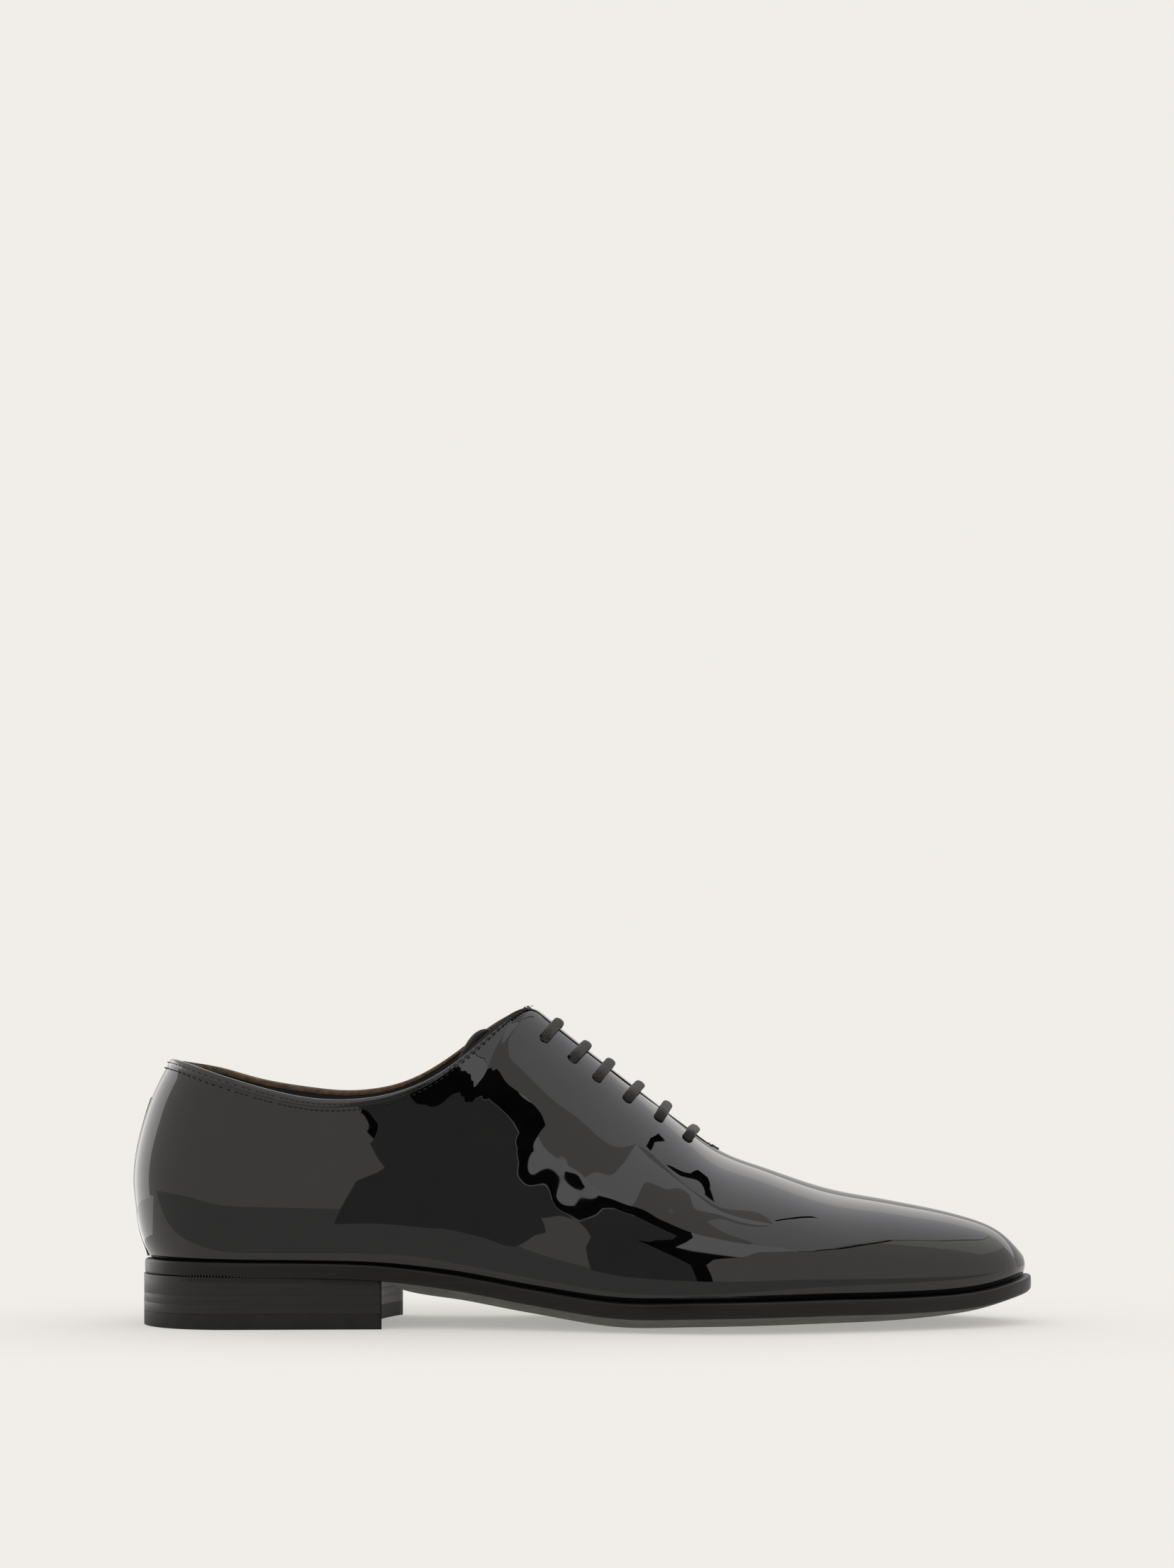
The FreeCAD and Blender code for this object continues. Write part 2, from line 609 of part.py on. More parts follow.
def heel_column(z0, z1):
    """The heel's plan: the sole's rear arc, straight sides and a breast that curves in."""
    radius = size("rear_radius")
    centre = size("rear_centre")
    front = size("breast_front")
    half = size("breast_half_width")
    rear = Part.Arc(Vector(centre, radius, z0), Vector(centre - radius, 0, z0), Vector(centre, -radius, z0))
    hollow = Part.Arc(
        Vector(front, -half, z0), Vector(front - size("breast_hollow"), 0, z0), Vector(front, half - 3, z0)
    )
    edges = [
        rear.toShape(),
        Part.makeLine(Vector(centre, -radius, z0), Vector(front, -half, z0)),
        hollow.toShape(),
        Part.makeLine(Vector(front, half - 3, z0), Vector(centre, radius, z0)),
    ]
    return Part.Face(Part.Wire(edges)).extrude(Vector(0, 0, z1 - z0))


def build_heel():
    tip = size("top_piece_thickness")
    lift = size("lift_thickness")
    add("top_piece", heel_column(0, tip))
    add("heel_lift_3", heel_column(tip, tip + lift))
    add("heel_lift_2", heel_column(tip + lift, tip + 2 * lift))
    under_sole = band(-60, -size("edge_thickness") - size("layer_gap") / 2)
    add("heel_lift_1", heel_column(tip + 2 * lift, 40).common(under_sole))
    radius = size("heel_nail_radius")
    down = Vector(0, 0, -1)
    nails = []
    for x, y in HEEL_NAILS:
        head = Vector(x, y, along(SOLE_TOP, x) - 0.5)
        nails.append(Part.makeCylinder(radius, size("heel_nail_length"), head, down))
    add("heel_nails", Part.makeCompound(nails))
    tips = []
    for x, y in TIP_NAILS:
        foot = Vector(x, y, TIP_NAIL_FOOT)
        tips.append(Part.makeCylinder(size("tip_nail_radius"), size("tip_nail_length"), foot))
    add("top_piece_nails", Part.makeCompound(tips))


def build_tongue():
    depth = size("tongue_depth")
    face = size("tongue_thickness")
    root = size("tongue_root")
    top = size("tongue_top")
    low_top, low_root = TONGUE_SIDES
    corners = []
    for x, z in ((top, low_top), (root, low_root), (root, 150), (top, 150)):
        corners.append(Vector(x, -60, z))
    zone = Part.Face(Part.makePolygon(corners + corners[:1])).extrude(Vector(0, 120, 0))
    outside = form(depth).common(zone)
    middle_form = form(depth + face)
    inside = form(depth + face + size("tongue_lining_thickness"))
    add("tongue", outside.cut(middle_form))
    add("tongue_lining", middle_form.common(zone).cut(inside))


def lace_points():
    """For each bar: where it dives inside on each side, its two holes and its top."""
    holes = hole_centres()
    bars = []
    for k, (x, z) in enumerate(LACE_TOPS):
        lateral, normal_l = holes[k]
        medial, normal_m = holes[k + 6]
        crest = Vector(x, along(RIDGE_SIDE, x), z - size("lace_radius"))
        bars.append((lateral, normal_l, crest, medial, normal_m))
    return bars


def build_lace():
    radius = size("lace_radius")
    solids = []
    dives = []
    for lateral, normal_l, crest, medial, normal_m in lace_points():
        inner = clear + radius + 0.2
        outer_reach = radius + 1.2
        path = [
            lateral - normal_l * inner,
            lateral + normal_l * outer_reach,
            crest,
            medial + normal_m * outer_reach,
            medial - normal_m * inner,
        ]
        solids.append(tube(path, radius, "lace bar"))
        dives.append((path[0], path[-1]))
    for side_index, first, last in ((0, 5, 4), (0, 3, 1), (0, 2, 0), (1, 5, 3), (1, 4, 2)):
        run = [dives[first][side_index], dives[last][side_index]]
        solids.append(tube(run, radius, "inside run"))
    lace = solids[0].multiFuse(solids[1:])
    add("lace", lace)


def build_lace_tails():
    for letter, route in (("a", LACE_TAIL_A), ("b", LACE_TAIL_B)):
        points = [Vector(*place) for place in route]
        add(f"lace_tail_{letter}", tube(points, size("lace_radius"), f"lace tail {letter}"))
        end = points[-1]
        onwards = (end - points[-2]).normalize()
        onwards.z = 0
        add(f"aglet_{letter}", Part.makeCylinder(size("aglet_radius"), size("aglet_length"), end, onwards))


def build_bar_tack():
    x = size("slot_throat") + 0.5
    y = along(RIDGE_SIDE, x)
    z = along(RIDGE, x) + 0.2
    tack = Part.makeCylinder(0.6, 5.0, Vector(x, y - 2.5, z), Vector(0, 1, 0))
    add("throat_bar_tack", tack)


build_upper()
build_middle()
build_lining()
build_footbed()
build_outsole()
build_heel()
build_tongue()
build_lace()
build_lace_tails()
build_bar_tack()

# ---------------------------------------------------------------- checks and files
document.recompute()
for piece in document.Objects:
    if {"Invalid", "Error"} & set(piece.State):
        raise RuntimeError(f"{piece.Name} failed: {piece.State}")
os.makedirs("parts", exist_ok=True)
for name, piece in pieces.items():
    if piece.Shape.isNull() or not piece.Shape.isValid() or not piece.Shape.Solids:
        raise RuntimeError(f"{name} isn't a valid solid")
    print(f"{name}: {len(piece.Shape.Solids)} solids, {piece.Shape.Volume:.0f} mm3, {piece.Shape.BoundBox}")
    piece.Shape.exportStep(f"parts/{name}.step")
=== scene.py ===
import math
import random

import bmesh
import bpy
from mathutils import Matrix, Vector, noise


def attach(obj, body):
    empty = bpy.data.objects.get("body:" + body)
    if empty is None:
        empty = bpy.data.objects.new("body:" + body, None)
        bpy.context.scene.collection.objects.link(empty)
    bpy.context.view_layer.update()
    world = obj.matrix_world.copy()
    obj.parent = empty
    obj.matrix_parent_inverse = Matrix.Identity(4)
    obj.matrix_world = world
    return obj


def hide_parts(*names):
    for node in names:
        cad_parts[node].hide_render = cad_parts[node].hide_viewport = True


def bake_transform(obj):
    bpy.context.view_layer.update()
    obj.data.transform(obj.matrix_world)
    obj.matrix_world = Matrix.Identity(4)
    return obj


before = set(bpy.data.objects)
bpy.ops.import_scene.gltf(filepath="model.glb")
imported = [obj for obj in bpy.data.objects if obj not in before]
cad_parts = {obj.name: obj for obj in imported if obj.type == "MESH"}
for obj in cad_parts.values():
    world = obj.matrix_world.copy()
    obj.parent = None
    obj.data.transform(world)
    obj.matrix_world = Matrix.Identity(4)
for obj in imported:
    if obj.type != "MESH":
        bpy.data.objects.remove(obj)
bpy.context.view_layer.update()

# Black patent leather wholecut oxford. Shapes are worked out in the part's millimetres and turned into metres
# by place(). The profiles are the part's own, so every skin lies on the layer that it stands for.
MM = 0.001
FRAME_SHIFT = 2.01
random.seed(7)

SOLE_TOP = [(-160, 22.4), (-115, 21.8), (-73, 21.0), (-46, 18.0), (-19, 13.3), (8, 9.6),
            (34, 9.8), (75, 10.5), (105, 10.7), (129, 12.1), (155, 17.2)]
RIDGE = [(-160, 152), (-112, 152), (-68, 146), (-45, 128), (-24, 112.5), (-13, 103.5), (9, 86.2),
         (31, 68.9), (45.5, 58.6), (60, 53.3), (82, 46.0), (104, 41.8), (126, 37.1), (141, 31.4),
         (149.6, 22.5)]
LATERAL_WIDTH = [(-160, 33.8), (-90, 33.6), (-68, 33), (-45, 33.5), (-20, 37.5), (5, 44), (25, 48),
                 (40, 49), (60, 47.5), (80, 43), (100, 36.5), (116, 30), (129, 23.5), (138, 17.5),
                 (144, 12), (149.6, 2)]
MEDIAL_WIDTH = [(-160, 33), (-90, 31.5), (-68, 28.5), (-45, 25.5), (-20, 27.5), (5, 34.5), (25, 43),
                (45, 48.5), (57, 49), (72, 47.2), (90, 42.5), (106, 36.5), (120, 30.5), (132, 24.5),
                (142, 17), (149.6, 8)]
RIDGE_SIDE = [(-160, 0), (-60, 0), (-24, 2), (5, 4), (45, 6), (75, 7), (110, 6), (140, 4), (149.6, 3)]
ARCH_POWER = [(-160, 2.2), (-112, 2.2), (-68, 2.0), (-24, 1.6), (20, 1.7), (50, 1.9), (75, 2.1),
              (110, 2.3), (150, 2.3)]
ARCH_ROUND = [(-160, 1.6), (-68, 1.6), (-24, 1.5), (20, 1.5), (50, 1.75), (75, 2.0), (110, 2.2), (150, 2.2)]
BULGE = [(-160, 1.5), (-90, 1.5), (-40, 2.5), (20, 2.0), (60, 2.2), (110, 1.6), (150, 0.6)]
CROWN = [(-80, 0), (-68.5, 0), (-62, 3.6), (-40, 4.1), (-15, 4.2), (10, 4.6), (34, 4.8), (60, 4.8),
         (85, 4.4), (105, 3.6), (125, 2.4), (153, 0.5)]
HEEL_BACK = [(0, -148), (14, -150.3), (22.5, -151.4), (31, -154.2), (40, -155.6), (49, -156.3),
             (58, -155.5), (68, -153.2), (78, -149.9), (90, -143.7), (102, -134), (126, -118)]
LATERAL_MOUTH = [(-165, 91), (-143.5, 90), (-120.5, 82.5), (-105.6, 78), (-91.3, 75), (-77.3, 74.7),
                 (-63.6, 77.1), (-50, 83.4), (-36.5, 94.8), (-27, 104), (-20.3, 108.6)]
MEDIAL_MOUTH = [(-165, 91), (-143.5, 90), (-133.5, 89.3), (-120, 85.5), (-105.7, 82.9), (-86, 81),
                (-67, 83.8), (-51.4, 91.5), (-36, 102.5), (-28, 107), (-20.3, 108.6)]
LACE_HOLES = [(-15.7, 96.8), (-6.0, 89.8), (2.2, 83.2), (12.5, 76.4), (23.2, 69.8), (32.8, 63.1)]
LACE_TOPS = [(-10.5, 105.3), (-0.9, 97.5), (7.3, 91.5), (17.5, 83.6), (26.9, 76.6), (36.5, 68.2)]
LACE_TAIL_A = [(-17, 5.3, 94.5), (-23.5, 1, 94.3), (-30, -5.5, 97.2), (-36.5, -11, 99.7),
               (-41.8, -15.3, 93.5), (-44, -17.3, 83.5), (-45.5, -20.3, 72), (-47, -22.3, 59),
               (-49, -23, 46), (-54, -22, 35.5), (-63, -19.5, 30.2), (-74, -16, 31), (-84.5, -10.5, 31.4)]
LACE_TAIL_B = [(-7.3, 6.6, 87.2), (-11, 4.2, 91.8), (-16, 1.3, 95.2), (-22.5, -1, 92.8), (-30, 1, 88),
               (-36, 4.5, 79), (-39, 8.5, 67), (-41, 11.5, 54), (-44, 13, 42), (-50, 13.5, 33),
               (-60, 12.5, 30), (-70.5, 11.5, 31), (-81, 12, 31.4)]
LATERAL_SOLE = [(-118.5, -34.1), (-90, -33.9), (-66, -33.6), (-45, -34.5), (-20, -39), (5, -46.5),
                (25, -51), (40, -52), (60, -50.5), (80, -46), (100, -39.5), (118, -32), (132, -24.8),
                (143, -16), (150, -6.5), (152.6, 3)]
MEDIAL_SOLE = [(-118.5, 34.1), (-90, 32.8), (-66, 29.6), (-45, 26.8), (-20, 29.3), (5, 37), (25, 46),
               (45, 51.5), (57, 52), (72, 50.3), (90, 45.5), (108, 38.5), (124, 31.3), (137, 23.6),
               (147, 14.5), (152.6, 3)]

TOE_END = 149.6
HEEL_ROUND = 34.0
HEEL_POWER = 2.05
TOE_TAPER = 25.0
TOE_INSET = 5.0
THROAT = 41.5
THROAT_RADIUS = 1.3
PEAK = -20.3
LATERAL, MEDIAL = -1, 1
EDGE = 5.0  # the outsole's thickness at its edge
REAR_CENTRE = -118.5
REAR_RADIUS = 34.1


# ---------------------------------------------------------------- the shoe's form
def place(x, y, z):
    """A point in the part's millimetres, in metres in the shoe's frame."""
    return Vector(((x + FRAME_SHIFT) * MM, y * MM, z * MM))


def along(points, x):
    """A smooth curve through the points, read at x."""
    x = min(max(x, points[0][0]), points[-1][0])
    i = max(k for k in range(len(points) - 1) if points[k][0] <= x)
    slopes = []
    for k in (i, i + 1):
        before, after = points[max(k - 1, 0)], points[min(k + 1, len(points) - 1)]
        slopes.append((after[1] - before[1]) / (after[0] - before[0]))
    (x0, v0), (x1, v1) = points[i], points[i + 1]
    step = x1 - x0
    t = (x - x0) / step
    return (
        v0 * (2 * t**3 - 3 * t**2 + 1)
        + v1 * (3 * t**2 - 2 * t**3)
        + slopes[0] * step * (t**3 - 2 * t**2 + t)
        + slopes[1] * step * (t**3 - t**2)
    )


def mix(a, b, t):
    return a + (b - a) * t


def smooth(t):
    t = min(max(t, 0), 1)
    return t * t * (3 - 2 * t)


def floor_at(x):
    return along(SOLE_TOP, x)


def stretched(x, inset):
    """Where an inner layer's place x lies on the outer form, whose toe reaches further."""
    front = 100.0
    if x <= front:
        return x
    return front + (x - front) * (TOE_END - front) / (TOE_END - inset - front)


def ridge_at(x, inset):
    return along(RIDGE, stretched(x, inset)) - inset


def wall(x, z, inset, sign):
    """The form's y at (x, z), on the lateral side for sign -1 and on the medial side for +1."""
    where = stretched(x, inset)
    floor = floor_at(x)
    top = along(RIDGE, where) - inset
    share = min(max((z - floor) / (top - floor), 0), 1)
    arch = (1 - share ** along(ARCH_POWER, where)) ** (1 / along(ARCH_ROUND, where))
    taper = math.sqrt(min(max(TOE_END - where, 0) / TOE_TAPER, 1))
    moved = inset if taper == 1 else min(inset, TOE_INSET) * taper
    width = along(LATERAL_WIDTH if sign < 0 else MEDIAL_WIDTH, where) - moved
    span = min(50.0, 0.9 * (top - floor))
    rise = z - floor
    bulge = along(BULGE, where) * math.sin(math.pi * rise / span) if 0 < rise < span else 0.0
    full = arch * (sign * (width + bulge)) + (1 - arch) * along(RIDGE_SIDE, where)
    if x < -90:
        depth = x - along(HEEL_BACK, z) - inset
        near = min(max(depth / (HEEL_ROUND - inset), 0), 1)
        full *= (1 - (1 - near) ** HEEL_POWER) ** (1 / HEEL_POWER)
    return full


def slot_edge(x, sign, spare=0.0):
    """The facing's edge beside the lacing slot."""
    share = min((x + 60) / (THROAT + 60), 1)
    centre = mix(2, along(RIDGE_SIDE, THROAT), share)
    half = mix(2.6, THROAT_RADIUS, share)
    if x > THROAT:
        half = math.sqrt(max(THROAT_RADIUS**2 - (x - THROAT) ** 2, 0))
    return centre + sign * (half + spare)


def mouth_at(x, sign):
    return along(LATERAL_MOUTH if sign < 0 else MEDIAL_MOUTH, x)


def share_at_edge(x, sign, inset, spare):
    """How far up the section the facing's edge lies, from 0 at the sole to 1 at the ridge."""
    goal = slot_edge(x, sign, spare)
    low, high = 0.6, 1.0
    floor, top = floor_at(x), ridge_at(x, inset)
    for _ in range(30):
        middle = (low + high) / 2
        if (wall(x, floor + middle * (top - floor), inset, sign) - goal) * sign > 0:
            low = middle
        else:
            high = middle
    return low


def column(sign, region, t, inset, drop, rows, tuck=0.0):
    """Points up the wall from the feather edge to the upper edge, at share t of a region of the shoe."""
    points = []

    def heel_x(z, reach):
        return along(HEEL_BACK, z) + inset + (HEEL_ROUND - inset) * reach

    corner_low, corner_high = heel_x(24, 1), heel_x(78, 1)
    if region == "heel":
        reach = 1 - math.cos(t * math.pi / 2) ** (2 / HEEL_POWER)
    elif region == "quarter":
        low, high = mix(corner_low, -45, t), mix(corner_high, PEAK, t)
    elif region == "facing":
        low, high = mix(-45, 60, t), mix(PEAK, THROAT + THROAT_RADIUS, t)
    else:
        low, high = mix(60, TOE_END - inset, t), mix(THROAT + THROAT_RADIUS, TOE_END - inset, t)

    def x_at(z, v):
        if region == "heel":
            return heel_x(z, reach)
        x = mix(low, high, v)
        if region == "quarter":
            x += (1 - t) ** 2 * (heel_x(z, 1) - mix(corner_low, corner_high, v))
        return x

    if region in ("heel", "quarter"):
        z = 80.0
        for _ in range(8):
            x = x_at(z, 1)
            z = mouth_at(x, sign) - drop
        top_share = (z - floor_at(x)) / (ridge_at(x, inset) - floor_at(x))
    elif region == "facing":
        top_share = share_at_edge(high, sign, inset, drop)
    else:
        top_share = 1.0
    reach_angle = math.asin(min(top_share, 1.0))
    for k in range(rows + 1):
        v = k / rows
        share = math.sin(v * reach_angle)
        z = floor_at(-100) + share * 60
        for _ in range(5):
            x = x_at(z, v)
            floor = floor_at(x)
            z = floor + share * (ridge_at(x, inset) - floor)
        y = wall(x, z, inset, sign)
        if tuck and z - floor < 4:
            pull = tuck * (1 - (z - floor) / 4) ** 2
            y -= sign * min(pull, abs(y) * 0.2)
            x += pull * (1 - t if region == "heel" else -smooth((x - 130) / 15))
        points.append(Vector((x, y, z)))
    return points


COLUMNS = {"heel": 9, "quarter": 14, "facing": 18, "vamp": 24}


def side_grid(
    sign, inset, drop=0.0, rows=14, regions=("heel", "quarter", "facing", "vamp"), tuck=0.0, last=1.0
):
    """The wall's columns on one side, from the back seam to the toe."""
    grid = []
    for region in regions:
        count = COLUMNS[region]
        first = 0 if region == regions[0] else 1
        for k in range(first, count + 1):
            t = k / count
            if region == regions[-1] and t > last + 1e-6:
                break
            grid.append(column(sign, region, t, inset, drop, rows, tuck))
    return grid


# ---------------------------------------------------------------- meshes
class Shape:
    """Vertices and faces that grow piece by piece."""

    def __init__(self):
        self.vertices = []
        self.faces = []

    def grid(self, rows, closed_across=False, closed_along=False):
        """Quads between neighbouring rows of points; every row has as many points."""
        start = len(self.vertices)
        width = len(rows[0])
        for row in rows:
            self.vertices.extend(row)
        count = len(rows)
        for i in range(count if closed_along else count - 1):
            for j in range(width if closed_across else width - 1):
                a = start + i * width + j
                b = start + i * width + (j + 1) % width
                c = start + ((i + 1) % count) * width + (j + 1) % width
                d = start + ((i + 1) % count) * width + j
                self.faces.append((a, b, c, d))
        return start

    def cap(self, row, flip=False):
        """One face over a closed row of points."""
        start = len(self.vertices)
        self.vertices.extend(row)
        face = list(range(start, start + len(row)))
        self.faces.append(tuple(reversed(face)) if flip else tuple(face))

    def made(self, name, gap=0.02):
        """The shape as a new object, with the points that meet within gap merged."""
        mesh = bpy.data.meshes.new(name)
        mesh.from_pydata([place(*v) for v in self.vertices], [], self.faces)
        mesh.update()
        piece = bpy.data.objects.new(name, mesh)
        bpy.context.scene.collection.objects.link(piece)
        weld(piece, gap)
        return piece


def weld(target, distance):
    """Merges the points that meet and turns every face outwards."""
    bm = bmesh.new()
    bm.from_mesh(target.data)
    bmesh.ops.remove_doubles(bm, verts=bm.verts, dist=distance * MM)
    bmesh.ops.recalc_face_normals(bm, faces=bm.faces)
    bm.to_mesh(target.data)
    bm.free()
    target.data.polygons.foreach_set("use_smooth", [True] * len(target.data.polygons))


def add_modifiers(target, levels=0, thickness=0.0, offset=-1.0):
    """Thickness first and then subdivision, both made final."""
    if thickness:
        solid = target.modifiers.new("thickness", "SOLIDIFY")
        solid.thickness = thickness * MM
        solid.offset = offset
        solid.use_even_offset = True
    if levels:
        subdivision = target.modifiers.new("subdivision", "SUBSURF")
        subdivision.levels = levels
        subdivision.render_levels = levels
    made_final(target)


def made_final(target):
    """Applies every modifier."""
    bpy.context.view_layer.update()
    evaluated = target.evaluated_get(bpy.context.evaluated_depsgraph_get())
    mesh = bpy.data.meshes.new_from_object(evaluated)
    target.modifiers.clear()
    target.data = mesh


def dressed(target, material, body="shoe", replaces=()):
    """Gives a piece its material and its body, and hides the CAD nodes that it stands for."""
    target.data.materials.clear()
    target.data.materials.append(material)
    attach(target, body)
    if replaces:
        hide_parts(*replaces)
    return target


# ---------------------------------------------------------------- materials
class Finish:
    """A Principled material with short ways to add noise, bump and colour variation."""

    def __init__(
        self, name, colour, roughness, metallic=0.0, coat=0.0, coat_roughness=0.03, sheen=0.0, specular=0.5
    ):
        self.material = bpy.data.materials.new(name)
        self.material.use_nodes = True
        self.nodes = self.material.node_tree.nodes
        self.links = self.material.node_tree.links
        self.shader = self.nodes["Principled BSDF"]
        self.set("Base Color", (*colour, 1))
        self.set("Roughness", roughness)
        self.set("Metallic", metallic)
        self.set("Specular IOR Level", specular)
        if coat:
            self.set("Coat Weight", coat)
            self.set("Coat Roughness", coat_roughness)
            self.set("Coat IOR", 1.55)
        if sheen:
            self.set("Sheen Weight", sheen)
            self.set("Sheen Roughness", 0.4)
        self.coordinates = self.nodes.new("ShaderNodeTexCoord").outputs["Object"]
        self.bump_height = None

    def set(self, name, value):
        self.shader.inputs[name].default_value = value

    def noise(self, scale, detail=3.0, roughness=0.5, stretch=(1, 1, 1)):
        mapping = self.nodes.new("ShaderNodeMapping")
        mapping.inputs["Scale"].default_value = stretch
        self.links.new(self.coordinates, mapping.inputs["Vector"])
        texture = self.nodes.new("ShaderNodeTexNoise")
        texture.inputs["Scale"].default_value = scale
        texture.inputs["Detail"].default_value = detail
        texture.inputs["Roughness"].default_value = roughness
        self.links.new(mapping.outputs["Vector"], texture.inputs["Vector"])
        return texture.outputs["Fac"]

    def cells(self, scale):
        texture = self.nodes.new("ShaderNodeTexVoronoi")
        texture.inputs["Scale"].default_value = scale
        self.links.new(self.coordinates, texture.inputs["Vector"])
        return texture.outputs["Distance"]

    def ramp(self, source, stops):
        node = self.nodes.new("ShaderNodeValToRGB")
        elements = node.color_ramp.elements
        while len(elements) < len(stops):
            elements.new(0.5)
        for element, (position, colour) in zip(elements, stops, strict=True):
            element.position = position
            element.color = (*colour, 1)
        self.links.new(source, node.inputs["Fac"])
        return node.outputs["Color"]

    def colour(self, source, stops):
        self.links.new(self.ramp(source, stops), self.shader.inputs["Base Color"])

    def rough(self, source, low, high):
        node = self.nodes.new("ShaderNodeMapRange")
        node.inputs["To Min"].default_value = low
        node.inputs["To Max"].default_value = high
        self.links.new(source, node.inputs["Value"])
        self.links.new(node.outputs["Result"], self.shader.inputs["Roughness"])

    def bump(self, source, distance_mm, strength=1.0, coat=False):
        node = self.nodes.new("ShaderNodeBump")
        node.inputs["Strength"].default_value = strength
        node.inputs["Distance"].default_value = distance_mm * MM
        self.links.new(source, node.inputs["Height"])
        if self.bump_height is not None:
            self.links.new(self.bump_height, node.inputs["Normal"])
        self.bump_height = node.outputs["Normal"]
        self.links.new(self.bump_height, self.shader.inputs["Normal"])
        if coat:
            self.links.new(self.bump_height, self.shader.inputs["Coat Normal"])


def patent_leather():
    """Black calf under a thick clear lacquer."""
    finish = Finish(
        "patent_leather", (0.002, 0.002, 0.002), 0.5, coat=1.0, coat_roughness=0.015, specular=0.0
    )
    finish.colour(finish.noise(90, 4), [(0.3, (0.0012, 0.0012, 0.0014)), (0.7, (0.0028, 0.0027, 0.0028))])
    finish.rough(finish.noise(220, 3), 0.42, 0.6)
    finish.bump(finish.noise(60, 2, 0.4), 0.02, 0.35, coat=True)
    return finish.material


def band_leather():
    finish = Finish("band_leather", (0.004, 0.004, 0.004), 0.34, coat=1.0, coat_roughness=0.1, specular=0.1)
    finish.colour(finish.noise(300, 4), [(0.3, (0.0035, 0.0035, 0.0035)), (0.7, (0.0065, 0.0062, 0.006))])
    finish.bump(finish.cells(1400), 0.01, 0.3)
    return finish.material


def lining_leather():
    finish = Finish("lining_leather", (0.012, 0.011, 0.011), 0.55, specular=0.35)
    finish.colour(finish.noise(40, 5), [(0.3, (0.010, 0.009, 0.009)), (0.7, (0.022, 0.020, 0.019))])
    finish.rough(finish.noise(120, 3), 0.45, 0.7)
    finish.bump(finish.cells(1100), 0.03, 0.6)
    return finish.material


def raw_edge():
    finish = Finish("raw_edge", (0.12, 0.07, 0.04), 0.85)
    finish.colour(finish.noise(500, 5), [(0.3, (0.07, 0.04, 0.022)), (0.7, (0.19, 0.115, 0.065))])
    finish.bump(finish.noise(900, 4), 0.06, 0.8)
    return finish.material


def sole_edge():
    """Leather dyed and waxed: the layers show as faint lines along the edge."""
    finish = Finish("sole_edge", (0.005, 0.005, 0.005), 0.36, specular=0.26)
    layers = finish.noise(900, 3, 0.6, (0.05, 0.05, 1))
    finish.colour(layers, [(0.35, (0.0040, 0.0036, 0.0034)), (0.65, (0.0075, 0.0068, 0.0064))])
    finish.rough(finish.noise(260, 4), 0.3, 0.45)
    finish.bump(layers, 0.02, 0.4)
    return finish.material


def sole_under():
    finish = Finish("sole_under", (0.07, 0.066, 0.052), 0.6)
    finish.colour(finish.noise(120, 6), [(0.3, (0.052, 0.048, 0.037)), (0.7, (0.088, 0.083, 0.066))])
    finish.rough(finish.noise(300, 4), 0.45, 0.75)
    finish.bump(finish.noise(900, 4), 0.05, 0.5)
    return finish.material


def heel_leather():
    finish = Finish("heel_leather", (0.01, 0.01, 0.01), 0.42, specular=0.32)
    layers = finish.noise(1300, 3, 0.6, (0.03, 0.03, 1))
    finish.colour(layers, [(0.35, (0.0085, 0.0080, 0.0076)), (0.65, (0.0125, 0.0118, 0.0112))])
    finish.rough(finish.noise(260, 4), 0.34, 0.5)
    finish.bump(layers, 0.015, 0.3)
    return finish.material


def rubber():
    finish = Finish("heel_rubber", (0.009, 0.009, 0.009), 0.6, specular=0.25)
    finish.colour(finish.noise(200, 4), [(0.3, (0.0075, 0.0075, 0.0075)), (0.7, (0.0115, 0.0115, 0.0115))])
    finish.bump(finish.noise(2600, 3), 0.03, 0.5)
    return finish.material


def lace_cotton():
    finish = Finish("lace_cotton", (0.026, 0.025, 0.024), 0.8, sheen=0.18, specular=0.2)
    finish.colour(finish.noise(1800, 3), [(0.3, (0.014, 0.0135, 0.013)), (0.7, (0.044, 0.042, 0.04))])
    finish.bump(finish.noise(5200, 3), 0.05, 0.6)
    return finish.material


def thread():
    finish = Finish("thread", (0.004, 0.004, 0.004), 0.6, specular=0.3)
    finish.colour(finish.noise(2500, 3), [(0.3, (0.002, 0.002, 0.002)), (0.7, (0.010, 0.010, 0.010))])
    finish.bump(finish.noise(4000, 3), 0.04, 0.6)
    return finish.material


def plain_inside(name, low, high, roughness, metallic=0.0):
    finish = Finish(name, high, roughness, metallic)
    finish.colour(finish.noise(260, 5), [(0.3, low), (0.7, high)])
    finish.bump(finish.noise(900, 4), 0.04, 0.5)
    return finish.material


PATENT = patent_leather()
BAND = band_leather()
LINING = lining_leather()
RAW_EDGE = raw_edge()
SOLE_EDGE = sole_edge()
SOLE_UNDER = sole_under()
HEEL_LEATHER = heel_leather()
RUBBER = rubber()
LACE = lace_cotton()
THREAD = thread()
AGLET = plain_inside("aglet_plastic", (0.012, 0.012, 0.012), (0.02, 0.02, 0.02), 0.25)
BOARD = plain_inside("leather_board", (0.2, 0.13, 0.08), (0.32, 0.22, 0.14), 0.8)
CANVAS = plain_inside("cotton_canvas", (0.5, 0.47, 0.4), (0.62, 0.58, 0.5), 0.9)
BLACK_CANVAS = plain_inside("black_canvas", (0.008, 0.008, 0.008), (0.016, 0.016, 0.016), 0.9)
CORK = plain_inside("cork", (0.2, 0.12, 0.06), (0.42, 0.28, 0.16), 0.9)
STEEL = plain_inside("steel", (0.45, 0.45, 0.46), (0.6, 0.6, 0.62), 0.35, 1.0)
